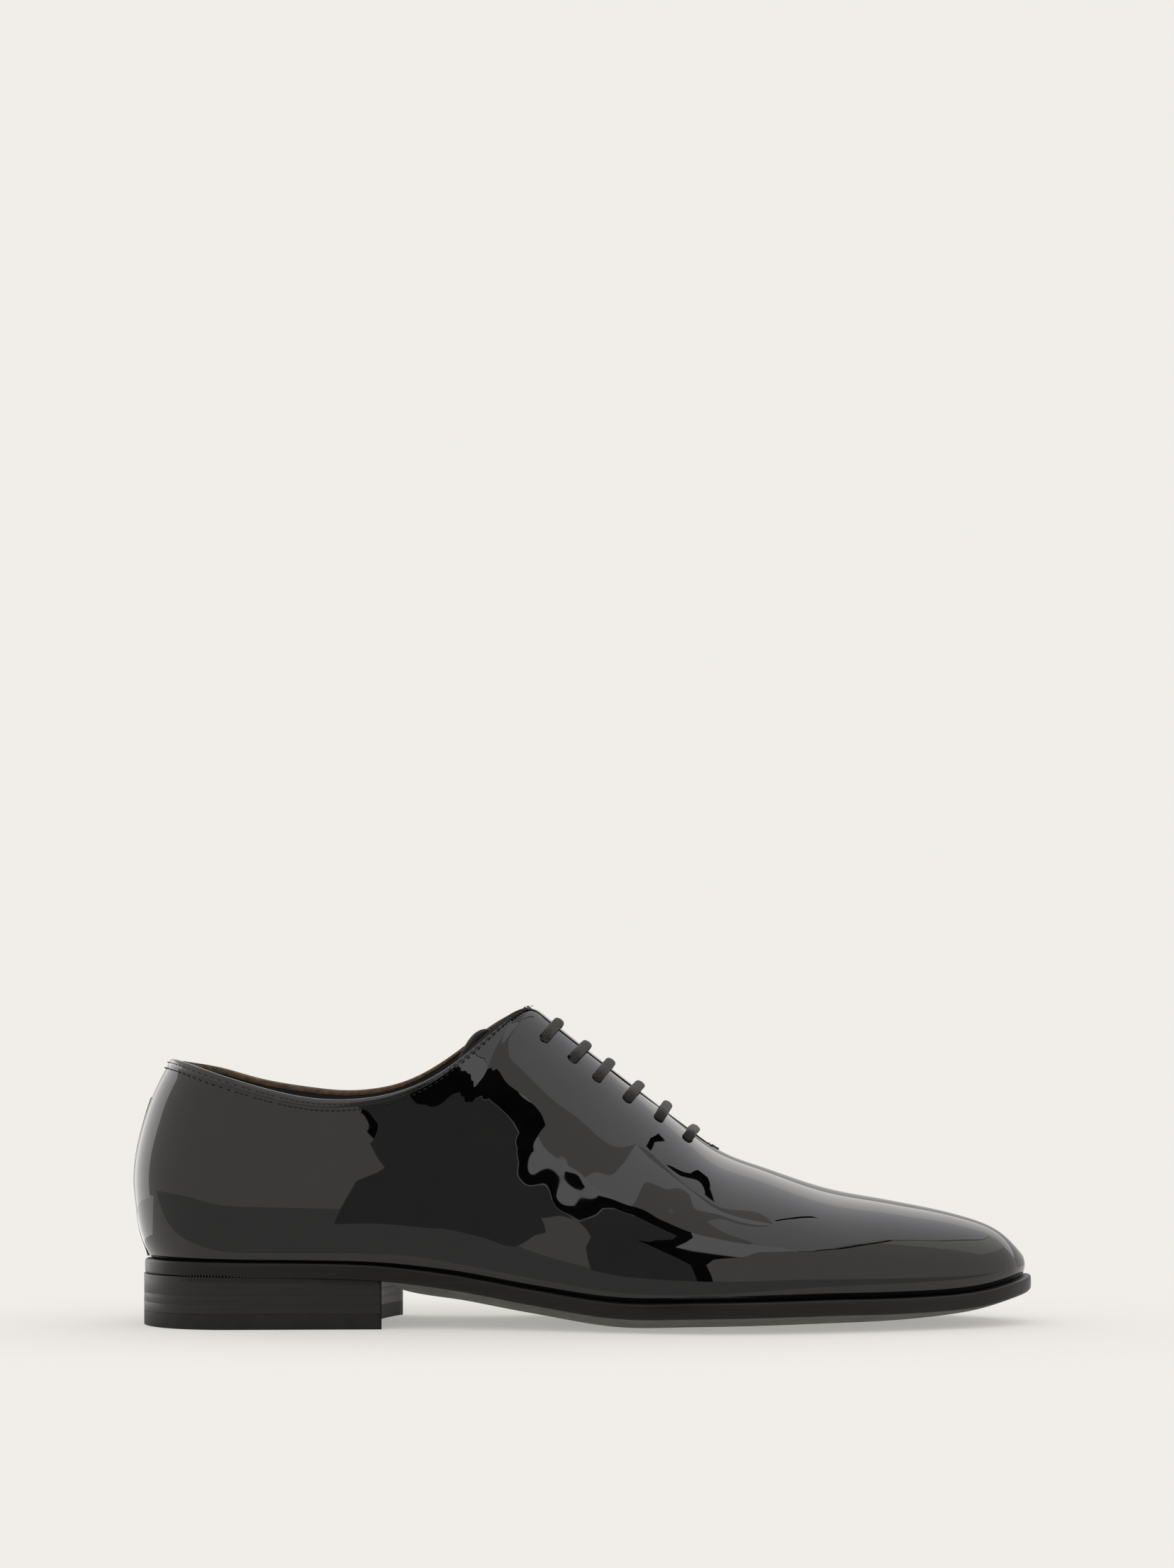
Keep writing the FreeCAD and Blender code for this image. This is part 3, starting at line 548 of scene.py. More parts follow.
BRASS = plain_inside("brass", (0.55, 0.4, 0.18), (0.7, 0.52, 0.25), 0.35, 1.0)


# ---------------------------------------------------------------- the upper and its lining
WALL_ROWS = 14


def top_edge(inset, drop, sink=0.0):
    """The upper edge as (point, down, in), from the lateral throat round the heel to the medial throat."""
    frames = []
    for sign in (LATERAL, MEDIAL):
        grid = side_grid(sign, inset, drop, WALL_ROWS, ("heel", "quarter", "facing"))
        inner = side_grid(sign, inset + 1.0, drop, WALL_ROWS, ("heel", "quarter", "facing"))
        found = []
        for outer_column, inner_column in zip(grid, inner, strict=True):
            edge = outer_column[-1]
            down = (outer_column[-2] - edge).normalized()
            across = inner_column[-1] - edge
            across -= down * across.dot(down)
            found.append((edge + down * sink, down, across.normalized()))
        frames.append(found)
    lateral, medial = frames
    return lateral[::-1] + medial[1:]


def swept(frames, profile):
    """A closed profile of (inwards, down) carried along the edge frames."""
    shape = Shape()
    rows = [[edge + inwards * a + down * b for a, b in profile] for edge, down, inwards in frames]
    shape.grid(rows, closed_across=True)
    shape.cap(rows[0], flip=True)
    shape.cap(rows[-1])
    return shape


def hole_frames():
    """Each lace hole's centre with its outward normal, lateral first and then medial."""
    found = []
    step = 0.5
    for sign in (LATERAL, MEDIAL):
        for x, z in LACE_HOLES:
            slope_x = (wall(x + step, z, 0, sign) - wall(x - step, z, 0, sign)) / (2 * step)
            slope_z = (wall(x, z + step, 0, sign) - wall(x, z - step, 0, sign)) / (2 * step)
            normal = (Vector((-slope_x, 1, -slope_z)) * sign).normalized()
            found.append((Vector((x, wall(x, z, 0, sign), z)), normal))
    return found


HOLES = hole_frames()
HOLE_RADIUS = 1.75


def punch(target, near, far):
    """Cuts the twelve lace holes."""
    shape = Shape()
    for centre, normal in HOLES:
        across = normal.orthogonal().normalized()
        other = normal.cross(across)
        rows = []
        for depth in (near, far):
            ring = []
            for k in range(24):
                angle = 2 * math.pi * k / 24
                spread = across * math.cos(angle) + other * math.sin(angle)
                ring.append(centre + normal * depth + spread * HOLE_RADIUS)
            rows.append(ring)
        shape.grid(rows, closed_across=True)
        shape.cap(rows[0], flip=True)
        shape.cap(rows[1])
    cutter = shape.made("hole_cutter", 0.001)
    cut = target.modifiers.new("holes", "BOOLEAN")
    cut.operation = "DIFFERENCE"
    cut.solver = "EXACT"
    cut.object = cutter
    made_final(target)
    bpy.data.objects.remove(cutter)


def wrinkled(point, normal):
    """The lasted leather isn't quite even: long shallow waves over the waist, none at the toe and heel."""
    x, y, z = (value / MM for value in point)
    x -= FRAME_SHIFT
    share = smooth((x + 75) / 35) * smooth((62 - x) / 30) * smooth((z - floor_at(x) - 6) / 14)
    share *= smooth((96 - z) / 14)
    wave = noise.noise(Vector((x / 26, y / 30, z / 17 + 3.1)))
    fine = noise.noise(Vector((x / 9, y / 12, z / 8 - 5.2)))
    toe = 0.05 * noise.noise(Vector((x / 30, y / 25, z / 25)))
    return normal * (share * (0.3 * wave + 0.07 * fine) + toe) * MM


def build_upper():
    shape = Shape()
    lateral = side_grid(LATERAL, 0, rows=WALL_ROWS, tuck=1.0)
    medial = side_grid(MEDIAL, 0, rows=WALL_ROWS, tuck=1.0)
    nose = []
    for a, b in zip(lateral[-1], medial[-1], strict=True):
        nose.append(Vector((max(a.x, b.x) + 0.5 * (b.y - a.y) / 10, (a.y + b.y) / 2, a.z)))
    shape.grid(lateral + [nose] + medial[::-1])
    upper = shape.made("upper_leather")
    add_modifiers(upper, levels=1)
    for vertex in upper.data.vertices:
        vertex.co += wrinkled(vertex.co, vertex.normal)
    add_modifiers(upper, levels=1, thickness=1.25)
    add_modifiers(upper, levels=1)
    punch(upper, 3.0, -4.0)
    upper.data.polygons.foreach_set("use_smooth", [True] * len(upper.data.polygons))
    dressed(upper, PATENT, replaces=["wholecut_upper"])
    return upper


def build_band():
    """The folded strip round the mouth and down the facings."""
    frames = top_edge(0, 0)
    profile = [(-0.16, 2.9), (-0.24, 1.7), (-0.24, 0.7), (-0.1, 0.0), (0.4, -0.35), (1.1, -0.35), (1.65, 0.1),
               (1.75, 0.9), (1.35, 1.5), (0.7, 1.6), (0.3, 2.2)]
    shape = swept(frames, profile)
    band = shape.made("topline_band", 0.005)
    add_modifiers(band, levels=2)
    dressed(band, BAND, replaces=["topline_binding"])


def build_lining():
    shape = Shape()
    regions = ("heel", "quarter", "facing", "vamp")
    lateral = side_grid(LATERAL, 3.5, 0.35, WALL_ROWS, regions)
    medial = side_grid(MEDIAL, 3.5, 0.35, WALL_ROWS, regions)
    shape.grid(lateral + medial[::-1])
    lining = shape.made("quarter_lining_skin")
    add_modifiers(lining, levels=2)
    add_modifiers(lining, thickness=0.9, offset=1.0)
    dressed(lining, LINING, replaces=["quarter_lining", "vamp_lining"])
    frames = top_edge(2.5, 0.2)
    profile = [(-0.75, 1.2), (-0.8, 0.2), (-0.5, -0.1), (0.9, -0.1), (1.15, 0.1), (1.22, 1.9), (0.95, 1.95),
               (0.1, 1.2)]
    shape = swept(frames, profile)
    edge = shape.made("lining_raw_edge", 0.005)
    add_modifiers(edge, levels=1)
    dressed(edge, RAW_EDGE)


# ---------------------------------------------------------------- stitches
def capsule(shape, start, end, radius, lift, sides=7):
    """One stitch: a short rounded thread from start to end, bowed outwards by lift."""
    axis = (end - start).normalized()
    across = axis.cross(lift).normalized()
    rows = []
    for share, size in ((0, 0.25), (0.06, 0.7), (0.25, 1), (0.5, 1), (0.75, 1), (0.94, 0.7), (1, 0.25)):
        middle = start + (end - start) * share + lift * math.sin(math.pi * share)
        ring = []
        for k in range(sides):
            angle = 2 * math.pi * k / sides
            ring.append(
                middle + (across * math.cos(angle) + lift.normalized() * math.sin(angle)) * radius * size
            )
        rows.append(ring)
    shape.grid(rows, closed_across=True)
    shape.cap(rows[0], flip=True)
    shape.cap(rows[-1])


def resampled(points, pitch):
    """Points at an even pitch along a line, each with the direction there."""
    found = []
    carried = 0.0
    for a, b in zip(points, points[1:], strict=False):
        length = (b - a).length
        while carried < length:
            found.append((a + (b - a) * (carried / length), (b - a).normalized(), a, b))
            carried += pitch
        carried -= length
    return found


def stitch_row(name, frames, down_by, out_by, pitch, radius, skip=0.28):
    """A row of stitches under the upper edge."""
    shape = Shape()
    line = [edge + down * down_by - inwards * out_by for edge, down, inwards in frames]
    normals = [-inwards for _, _, inwards in frames]
    carried = 0.0
    for k, (a, b) in enumerate(zip(line, line[1:], strict=False)):
        length = (b - a).length
        while carried + pitch * (1 - skip) < length:
            start = a + (b - a) * (carried / length)
            end = a + (b - a) * ((carried + pitch * (1 - skip)) / length)
            tilt = (normals[k] + normals[k + 1]).normalized()
            wander = frames[k][1] * random.uniform(-0.06, 0.06)
            capsule(shape, start + wander, end - wander, radius, tilt * 0.16)
            carried += pitch
        carried = max(carried - length, 0.0)
    row = shape.made(name, 0.0005)
    dressed(row, THREAD)


def finer(frames, times):
    """More frames between the given ones, on smooth curves through them."""
    found = []
    count = len(frames)
    for i in range(count - 1):
        before, a, b, after = (frames[min(max(k, 0), count - 1)] for k in (i - 1, i, i + 1, i + 2))
        for step in range(times):
            t = step / times
            edge = (
                a[0] * (2 * t**3 - 3 * t**2 + 1)
                + b[0] * (3 * t**2 - 2 * t**3)
                + (b[0] - before[0]) * 0.5 * (t**3 - 2 * t**2 + t)
                + (after[0] - a[0]) * 0.5 * (t**3 - t**2)
            )
            found.append((edge, mix(a[1], b[1], t).normalized(), mix(a[2], b[2], t).normalized()))
    found.append(frames[-1])
    return found


def build_stitching():
    frames = finer(top_edge(0, 0), 4)
    stitch_row("topline_stitching", frames, 3.6, 0.06, 1.75, 0.2)
    stitch_row("rim_stitching", frames, 1.5, 0.28, 1.75, 0.13)
    facing = [spot for spot in finer(top_edge(0, 0), 2) if spot[0].x > PEAK + 4]
    for name, sign in (("lateral_facing_crease", LATERAL), ("medial_facing_crease", MEDIAL)):
        frames_here = [spot for spot in facing if sign * (spot[0].y - along(RIDGE_SIDE, spot[0].x)) > 0]
        profile = [(0.12, 2.7), (-0.12, 2.78), (-0.26, 2.95), (-0.12, 3.12), (0.12, 3.2)]
        shape = swept(frames_here, profile)
        crease = shape.made(name, 0.005)
        dressed(crease, THREAD)


def build_back_seam():
    """The strip over the back seam and the cross stitches that hold its upper half."""
    shape = Shape()
    rows = []
    for k in range(37):
        z = mix(22.8, 77, k / 36)
        row = []
        back = along(HEEL_BACK, z)
        for step in range(-6, 7):
            y = step / 6 * 3.4
            share = abs(y) / (wall(-100, z, 0, MEDIAL) if y > 0 else -wall(-100, z, 0, LATERAL))
            depth = HEEL_ROUND * (1 - (1 - share**HEEL_POWER) ** (1 / HEEL_POWER))
            row.append(Vector((back + depth - 0.02, y, z)))
        rows.append(row)
    shape.grid(rows)
    strip = shape.made("back_strip_leather")
    add_modifiers(strip, thickness=0.42, offset=1.0)
    bevel = strip.modifiers.new("rounded", "BEVEL")
    bevel.width = 0.16 * MM
    bevel.segments = 2
    bevel.limit_method = "ANGLE"
    made_final(strip)
    strip.data.polygons.foreach_set("use_smooth", [True] * len(strip.data.polygons))
    dressed(strip, PATENT, replaces=["back_strip"])
    shape = Shape()
    for k in range(15):
        z = 46.3 + 2.15 * k
        x = along(HEEL_BACK, z) - 0.55
        start, end = Vector((x + 0.35, -2.3, z)), Vector((x + 0.35, 2.3, z + 0.25))
        capsule(shape, start, end, 0.42, Vector((-0.45, 0, 0.05)))
    stitches = shape.made("back_seam_stitches", 0.0005)
    dressed(stitches, THREAD)


# ---------------------------------------------------------------- sole and heel
def sole_outline(step=2.5):
    """The outsole's plan, once round from the lateral waist: (point, outward normal)."""
    line = []
    count = 110
    for k in range(count):
        angle = math.pi * (0.5 + k / (count - 1))
        line.append(Vector((REAR_CENTRE + REAR_RADIUS * math.cos(angle), REAR_RADIUS * math.sin(angle), 0)))
    tip = 152.6
    lateral, medial = [], []
    count = 170
    for k in range(1, count + 1):
        share = math.sin(k / count * math.pi / 2)
        x = mix(REAR_CENTRE, tip, share)
        lateral.append(Vector((x, along(LATERAL_SOLE, x), 0)))
        medial.append(Vector((x, along(MEDIAL_SOLE, x), 0)))
    line = line + lateral + medial[-2::-1]
    even = [point for point, _, _, _ in resampled(line + line[:1], step)]
    if (even[-1] - even[0]).length < step / 2:
        even.pop()
    count = len(even)
    for _ in range(6):
        even = [(even[i - 1] + even[i] * 2 + even[(i + 1) % count]) / 4 for i in range(count)]
    outline = []
    for i in range(count):
        tangent = even[(i + 1) % count] - even[i - 1]
        outline.append((even[i], Vector((-tangent.y, tangent.x, 0)).normalized() * -1))
    return outline


def build_outsole():
    outline = sole_outline()
    shape = Shape()
    rows = []
    profile = [(16, 0.1), (6, 0.1), (1.5, 0.1), (0.55, 0.0), (0.12, -0.35), (0.0, -0.95), (-0.05, -2.6),
               (0.0, -4.2), (0.12, -4.7), (0.55, -EDGE)]
    for inset, height in profile:
        row = []
        for point, normal in outline:
            x, y = point.x - normal.x * inset, point.y - normal.y * inset
            row.append(Vector((x, y, max(floor_at(point.x) + height, 0.05))))
        rows.append(row)
    shape.grid(rows, closed_across=True)
    side = shape.made("outsole_edge", 0.001)
    add_modifiers(side, levels=1)
    dressed(side, SOLE_EDGE, replaces=["outsole"])
    shape = Shape()
    rows = []
    for reach in (1.0, 0.985, 0.95, 0.88, 0.78, 0.66, 0.52, 0.38, 0.24, 0.1, 0.0):
        row = []
        for point, normal in outline:
            edge = point - normal * 0.55
            spine_x = min(max(edge.x, REAR_CENTRE), 128)
            spine_y = (along(LATERAL_SOLE, spine_x) + along(MEDIAL_SOLE, spine_x)) / 2
            x, y = mix(spine_x, edge.x, reach), mix(spine_y, edge.y, reach)
            low = floor_at(x) - EDGE
            z = low - along(CROWN, x) * (1 - reach**4) - 0.02
            row.append(Vector((x, y, max(z, 0.03))))
        rows.append(row)
    shape.grid(rows, closed_across=True)
    under = shape.made("outsole_tread", 0.001)
    add_modifiers(under, levels=1)
    dressed(under, SOLE_UNDER)


def heel_outline(shrink=0.0):
    """The heel's plan: the rear arc, two straight sides and the hollow breast: (point, outward normal)."""
    front, half, hollow = -68.0, 32.0, 6.0
    line = []
    for k in range(61):
        angle = math.pi * (0.5 + k / 60)
        line.append(Vector((REAR_CENTRE + REAR_RADIUS * math.cos(angle), REAR_RADIUS * math.sin(angle), 0)))
    for k in range(1, 21):
        line.append(Vector((mix(REAR_CENTRE, front, k / 20), mix(-REAR_RADIUS, -half, k / 20), 0)))
    for k in range(1, 25):
        share = k / 24
        line.append(Vector((front - hollow * 4 * share * (1 - share), mix(-half, half - 3, share), 0)))
    for k in range(1, 20):
        line.append(Vector((mix(front, REAR_CENTRE, k / 20), mix(half - 3, REAR_RADIUS, k / 20), 0)))
    count = len(line)
    outline = []
    for i in range(count):
        tangent = (line[(i + 1) % count] - line[i]).normalized() + (line[i] - line[i - 1]).normalized()
        normal = Vector((tangent.y, -tangent.x, 0)).normalized()
        outline.append((line[i] - normal * shrink, normal))
    return outline


def slab(name, low, high, rounding, shrink=0.0):
    """One layer of the heel between two heights, given as functions of x."""
    shape = Shape()
    outline = heel_outline(shrink)
    rows = []
    for inset, share, rise in ((rounding, 0, 0), (rounding * 0.3, 0, rounding * 0.3), (0, 0, rounding),
                               (0, 1, -rounding), (rounding * 0.3, 1, -rounding * 0.3), (rounding, 1, 0)):
        row = []
        for point, normal in outline:
            base = high(point.x) if share else low(point.x)
            spot = point - normal * inset
            row.append(Vector((spot.x, spot.y, base + rise)))
        rows.append(row)
    shape.grid(rows, closed_across=True)
    shape.cap(rows[0], flip=True)
    shape.cap(rows[-1])
    made = shape.made(name, 0.001)
    return made


def build_heel():
    tip = slab("heel_tip", lambda x: 0.0, lambda x: 5.0, 0.22)
    dressed(tip, RUBBER, replaces=["top_piece"])
    for number, low, high in ((3, 5.0, 8.0), (2, 8.0, 11.0)):
        lift = slab(f"stacked_lift_{number}", lambda x, z=low: z, lambda x, z=high: z, 0.07)
        dressed(lift, HEEL_LEATHER, replaces=[f"heel_lift_{number}"])
    top = slab("stacked_lift_1", lambda x: 11.0, lambda x: floor_at(x) - EDGE, 0.07)
    dressed(top, HEEL_LEATHER, replaces=["heel_lift_1"])
    shape = Shape()
    line = [point for point, _ in heel_outline() if point.x < -70]
    for point, direction, _, _ in resampled(line[:81], 1.05):
        normal = Vector((direction.y, -direction.x, 0)).normalized()
        fade = smooth((point.x + 136) / 10)
        if fade > 0.05:
            z = floor_at(point.x) - EDGE
            foot = Vector((point.x, point.y, z - 1.7))
            head = Vector((point.x, point.y, z + 0.9))
            capsule(shape, foot, head, 0.24 * fade, normal * 0.1, sides=6)
    wheel = shape.made("heel_seat_wheeling", 0.0005)
    dressed(wheel, HEEL_LEATHER)


# ---------------------------------------------------------------- laces
BRAID_SIDES = 24
LACE_HALF_WIDTH = 1.8
LACE_HALF_THICKNESS = 0.95


def spline_points(route, steps=12):
    """A smooth open curve that the route's points pull on, and the curve's points in millimetres."""
    curve = bpy.data.curves.new("route", "CURVE")
    curve.dimensions = "3D"
    spline = curve.splines.new("NURBS")
    spline.points.add(len(route) - 1)
    for target, spot in zip(spline.points, route, strict=True):
        target.co = (*spot, 1)
    spline.order_u = 3
    spline.use_endpoint_u = True
    curve.resolution_u = steps
    holder = bpy.data.objects.new("route", curve)
    bpy.context.scene.collection.objects.link(holder)
    bpy.context.view_layer.update()
    mesh = bpy.data.meshes.new_from_object(holder.evaluated_get(bpy.context.evaluated_depsgraph_get()))
    points = [v.co.copy() for v in mesh.vertices]
    bpy.data.objects.remove(holder)
    return points


def braid(shape, points, facing, flatness):
    """A woven flat cord along points. facing(point) is the way its flat side looks."""
    step = 0.2
    spread = resampled(points, step)
    rows = []
    before = None
    travelled = 0.0
    for spot, direction, _, _ in spread:
        out = facing(spot)
        out = (out - direction * out.dot(direction)).normalized()
        if before is not None and out.dot(before) < 0:
            out = -out
        before = out
        across = direction.cross(out).normalized()
        travelled += step
        row = []
        for k in range(BRAID_SIDES):
            angle = 2 * math.pi * k / BRAID_SIDES
            left = math.sin(6 * angle + travelled * 4.6)
            right = math.sin(6 * angle - travelled * 4.6)
            relief = 1 + 0.016 * (max(left, right) - 0.5) + 0.022 * math.cos(8 * angle)
            wide = mix(LACE_HALF_THICKNESS, LACE_HALF_WIDTH, flatness)
            thick = mix(1.25, LACE_HALF_THICKNESS, flatness)
            row.append(spot + (across * math.cos(angle) * wide + out * math.sin(angle) * thick) * relief)
        rows.append(row)
    shape.grid(rows, closed_across=True)
    shape.cap(rows[0], flip=True)
    shape.cap(rows[-1])


def build_lace_bars():
    shape = Shape()
    inner_ends = []
    for k, (x, z) in enumerate(LACE_TOPS):
        lateral, normal_l = HOLES[k]
        medial, normal_m = HOLES[k + 6]
        crest = Vector((x, along(RIDGE_SIDE, x), z - 1.3))
        over_l = lateral + normal_l * 1.7
        over_m = medial + normal_m * 1.7
        lift = Vector((0.5, 0, 0.85)).normalized()
        route = [
            lateral - normal_l * 5.0,
            lateral - normal_l * 2.2,
            lateral + normal_l * 0.4,
            over_l + (crest - over_l).normalized() * 1.2 + normal_l * 0.2,
            mix(over_l, crest, 0.55) + lift * 0.5,
            crest + lift * 0.35,
            mix(over_m, crest, 0.55) + lift * 0.5,
            over_m + (crest - over_m).normalized() * 1.2 + normal_m * 0.2,
            medial + normal_m * 0.4,
            medial - normal_m * 2.2,
            medial - normal_m * 5.0,
        ]
        middle = Vector((x - 14, 3, z - 22))
        braid(shape, spline_points(route), lambda spot, c=middle: spot - c, 1.0)
        inner_ends.append((route[0], route[-1]))
    for side, first, last in ((0, 5, 4), (0, 3, 1), (0, 2, 0), (1, 5, 3), (1, 4, 2)):
        run = [inner_ends[first][side], inner_ends[last][side]]
        centre = Vector((run[0].x, 3, 20))
        bow = mix(run[0], run[1], 0.5) + (centre - run[0]).normalized() * 0.6
        braid(shape, spline_points([run[0], bow, run[1]]), lambda spot, c=centre: spot - c, 1.0)
    bars = shape.made("lace_bars", 0.0005)
    dressed(bars, LACE, replaces=["lace"])


def build_lace_tail(letter, route):
    curve_points = spline_points(route)
    shape = Shape()
    braid(shape, curve_points, lambda spot: Vector((0.15, 0.35, 1)), 0.85)
    tail = shape.made(f"free_lace_{letter}", 0.0005)
    dressed(tail, LACE, replaces=[f"lace_tail_{letter}"])
    aglet = build_aglet(letter, Vector(route[-1]), Vector(route[-1]) - Vector(route[-2]))


def build_aglet(letter, start, direction):
    """The lace's tip: a thin sleeve crimped round the cord, with a rounded end."""
    direction = Vector((direction.x, direction.y, 0)).normalized()
    across = Vector((-direction.y, direction.x, 0))
    up = Vector((0, 0, 1))
    profile = [(0.0, 1.22), (0.15, 1.42), (0.5, 1.47), (2.6, 1.47), (2.9, 1.3), (3.2, 1.3), (3.5, 1.47),
               (6.6, 1.46), (6.9, 1.3), (7.2, 1.3), (7.5, 1.46), (17.5, 1.42), (18.8, 1.3), (19.5, 1.05),
               (19.85, 0.7), (19.95, 0.3)]
    shape = Shape()
    rows = []
    for distance, radius in profile:
        ring = []
        for k in range(20):
            angle = 2 * math.pi * k / 20
            ring.append(
                start + direction * distance + (across * math.cos(angle) + up * math.sin(angle)) * radius
            )
        rows.append(ring)
    shape.grid(rows, closed_across=True)
    shape.cap(rows[0], flip=True)
    shape.cap(rows[-1])
    aglet = shape.made(f"lace_tip_{letter}", 0.0005)
    return dressed(aglet, AGLET, replaces=[f"aglet_{letter}"])


def build_bar_tack():
    """Turns of waxed thread that stop the slot from tearing at the throat."""
    shape = Shape()
    x = THROAT + 0.6
    for k in range(6):
        spot = x + 0.42 * k
        y = along(RIDGE_SIDE, spot)
        z = along(RIDGE, spot)
        reach = 2.3 - 0.2 * abs(k - 2)
        capsule(shape, Vector((spot, y - reach, z - 0.15)), Vector((spot + 0.12, y + reach, z - 0.15)), 0.26,
                Vector((0.2, 0, 0.55)))
    tack = shape.made("throat_stitches", 0.0005)
    dressed(tack, THREAD, replaces=["throat_bar_tack"])


# ---------------------------------------------------------------- tongue
TONGUE_TOP = -17.0
TONGUE_ROOT = 40.0


def build_tongue():
    """A leather sheet with its lining, sewn to the upper at the throat and folding there."""
    for name, inset, thickness, material, slot_name, node in (
        ("tongue_leather", 13.5, 1.25, PATENT, "patent_leather", "tongue"),
        ("tongue_lining_skin", 14.85, 0.75, LINING, "lining_leather", "tongue_lining"),
    ):
        shape = Shape()
        rows = []
        stations = 26
        for k in range(stations + 1):
            x = mix(TONGUE_TOP, 52, k / stations)
            share = smooth((x - TONGUE_ROOT) / 12)
            depth = mix(inset, 4.9 + (inset - 13.5), share)
            floor, top = floor_at(x), ridge_at(x, depth)
            low = mix(70, 44, min((x - TONGUE_TOP) / (TONGUE_ROOT - TONGUE_TOP), 1))
            corner = 6 * (1 - smooth((x - TONGUE_TOP) / 8)) ** 2
            low = max(low + corner, floor + 0.5 * (top - floor))
            reach = math.asin((low - floor) / (top - floor))
            row = []
            for sign in (LATERAL, MEDIAL):
                steps = range(11) if sign == LATERAL else range(9, -1, -1)
                for j in steps:
                    angle = mix(reach, math.pi / 2, j / 10)
                    z = floor + math.sin(angle) * (top - floor)
                    row.append(Vector((x, wall(x, z, depth, sign), z)))
            rows.append(row)
        shape.grid(rows)
        sheet = shape.made(name, 0.001)
        add_modifiers(sheet, thickness=thickness, offset=-1.0)
        add_modifiers(sheet, levels=2)
        sheet.data.materials.clear()
        sheet.data.materials.append(material)
        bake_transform(sheet)
        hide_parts(node)


# ---------------------------------------------------------------- what stays as the part made it
INSIDE = {
    "heel_counter": BOARD, "toe_puff": BOARD, "lateral_facing_stay": BLACK_CANVAS,
    "medial_facing_stay": BLACK_CANVAS, "interlining": BLACK_CANVAS, "blind_eyelets": BRASS,
    "insole_board": BOARD, "sole_stitch": THREAD,
    "sock_foam": CANVAS, "sock_liner": LINING, "shank": STEEL, "shank_rivets": STEEL, "cork_filler": CORK,
    "heel_nails": STEEL, "top_piece_nails": STEEL,
}


def dress_inside():
    for node, material in INSIDE.items():
        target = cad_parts[node]
        target.data.materials.clear()
        target.data.materials.append(material)


# ---------------------------------------------------------------- the studio
CAMERA_DISTANCE = 0.557
CAMERA_HEIGHT = 0.0464
CAMERA_SIDE = 0.0007


def build_camera():
    camera = bpy.data.objects.new("camera", bpy.data.cameras.new("camera"))
    bpy.context.scene.collection.objects.link(camera)
    camera.location = (CAMERA_SIDE, -CAMERA_DISTANCE, CAMERA_HEIGHT)
    camera.rotation_euler = (math.pi / 2, 0, 0)
    camera.data.sensor_width = 36
    camera.data.lens = 37.12
    camera.data.shift_y = 0.2568
    bpy.context.scene.camera = camera


def glow(name, colour, strength):
    """A material that only gives light."""
    material = bpy.data.materials.new(name)
    material.use_nodes = True
    nodes = material.node_tree.nodes
    nodes.clear()
    lamp = nodes.new("ShaderNodeEmission")
    lamp.inputs["Color"].default_value = (*colour, 1)
    lamp.inputs["Strength"].default_value = strength
    out = nodes.new("ShaderNodeOutputMaterial")
    material.node_tree.links.new(lamp.outputs[0], out.inputs["Surface"])
    return material


def card(name, corners, colour, strength):
    """A flat panel of the studio that only reflections see: a softbox if it glows, or else a flag."""
    mesh = bpy.data.meshes.new(name)
    mesh.from_pydata(corners, [], [tuple(range(len(corners)))])
    mesh.materials.append(glow(name, colour, strength))
    panel = bpy.data.objects.new(name, mesh)
    bpy.context.scene.collection.objects.link(panel)
    panel.visible_camera = False
    panel.visible_diffuse = False
    panel.visible_shadow = False
    panel.visible_transmission = False


def upright(name, y, outline, colour, strength):
    """A card in a plane across the view."""
    card(name, [(x, y, z) for x, z in outline], colour, strength)


FRONT = -0.25  # the plane of the small cards before the shoe
OVERHEAD = 0.8  # the height of the softboxes overhead
FRONT_SHADE = [(-0.106, 0.012), (0.022, 0.012), (0.018, 0.1), (-0.005, 0.135), (-0.03, 0.165), (-0.015, 0.2),
               (0.01, 0.235), (0.02, 0.262), (0.0, 0.285), (-0.018, 0.277), (-0.035, 0.25), (-0.05, 0.215),
               (-0.068, 0.18), (-0.08, 0.155), (-0.08, 0.12), (-0.094, 0.085), (-0.1, 0.05)]
FRONT_FLAG = [(-0.076, 0.163), (-0.068, 0.18), (-0.05, 0.215), (-0.035, 0.25), (-0.018, 0.277), (0.0, 0.285),
              (0.02, 0.262), (0.01, 0.235), (-0.015, 0.2), (-0.03, 0.165), (-0.005, 0.135), (0.018, 0.1),
              (0.022, 0.012), (0.046, 0.012), (0.044, 0.11), (0.06, 0.147), (0.095, 0.184), (0.03, 0.182),
              (0.004, 0.19), (0.03, 0.238), (0.05, 0.285), (0.055, 0.33), (0.03, 0.35), (0.0, 0.325),
              (-0.022, 0.3), (-0.042, 0.25), (-0.06, 0.205), (-0.078, 0.17)]
FRONT_SOFTBOX = [(-0.12, 0.19), (0.1, 0.192), (0.13, 0.255), (0.24, 0.325), (0.2, 0.37), (0.08, 0.33),
                 (-0.02, 0.33), (-0.06, 0.3)]
LEFT_SOFTBOX = [(-0.45, -1.1), (-0.28, -1.1), (-0.06, -0.7), (0.17, -0.27), (0.3, -0.05), (0.1, -0.05)]
RIGHT_SOFTBOX = [(0.2, -0.82), (0.32, -0.72), (0.46, -0.62), (0.56, -0.5), (0.58, -0.33), (0.56, -0.15),
                 (0.56, 0.0), (0.7, 0.12), (0.85, 0.4), (1.0, 1.5), (0.2, 1.5), (0.22, 0.3), (0.3, -0.05),
                 (0.2, -0.3), (0.27, -0.5)]
FAR_SOFTBOX = [(0.58, -0.1), (1.3, -0.1), (1.3, 1.5), (1.0, 1.5), (0.87, 0.4), (0.72, 0.12), (0.58, 0.0)]
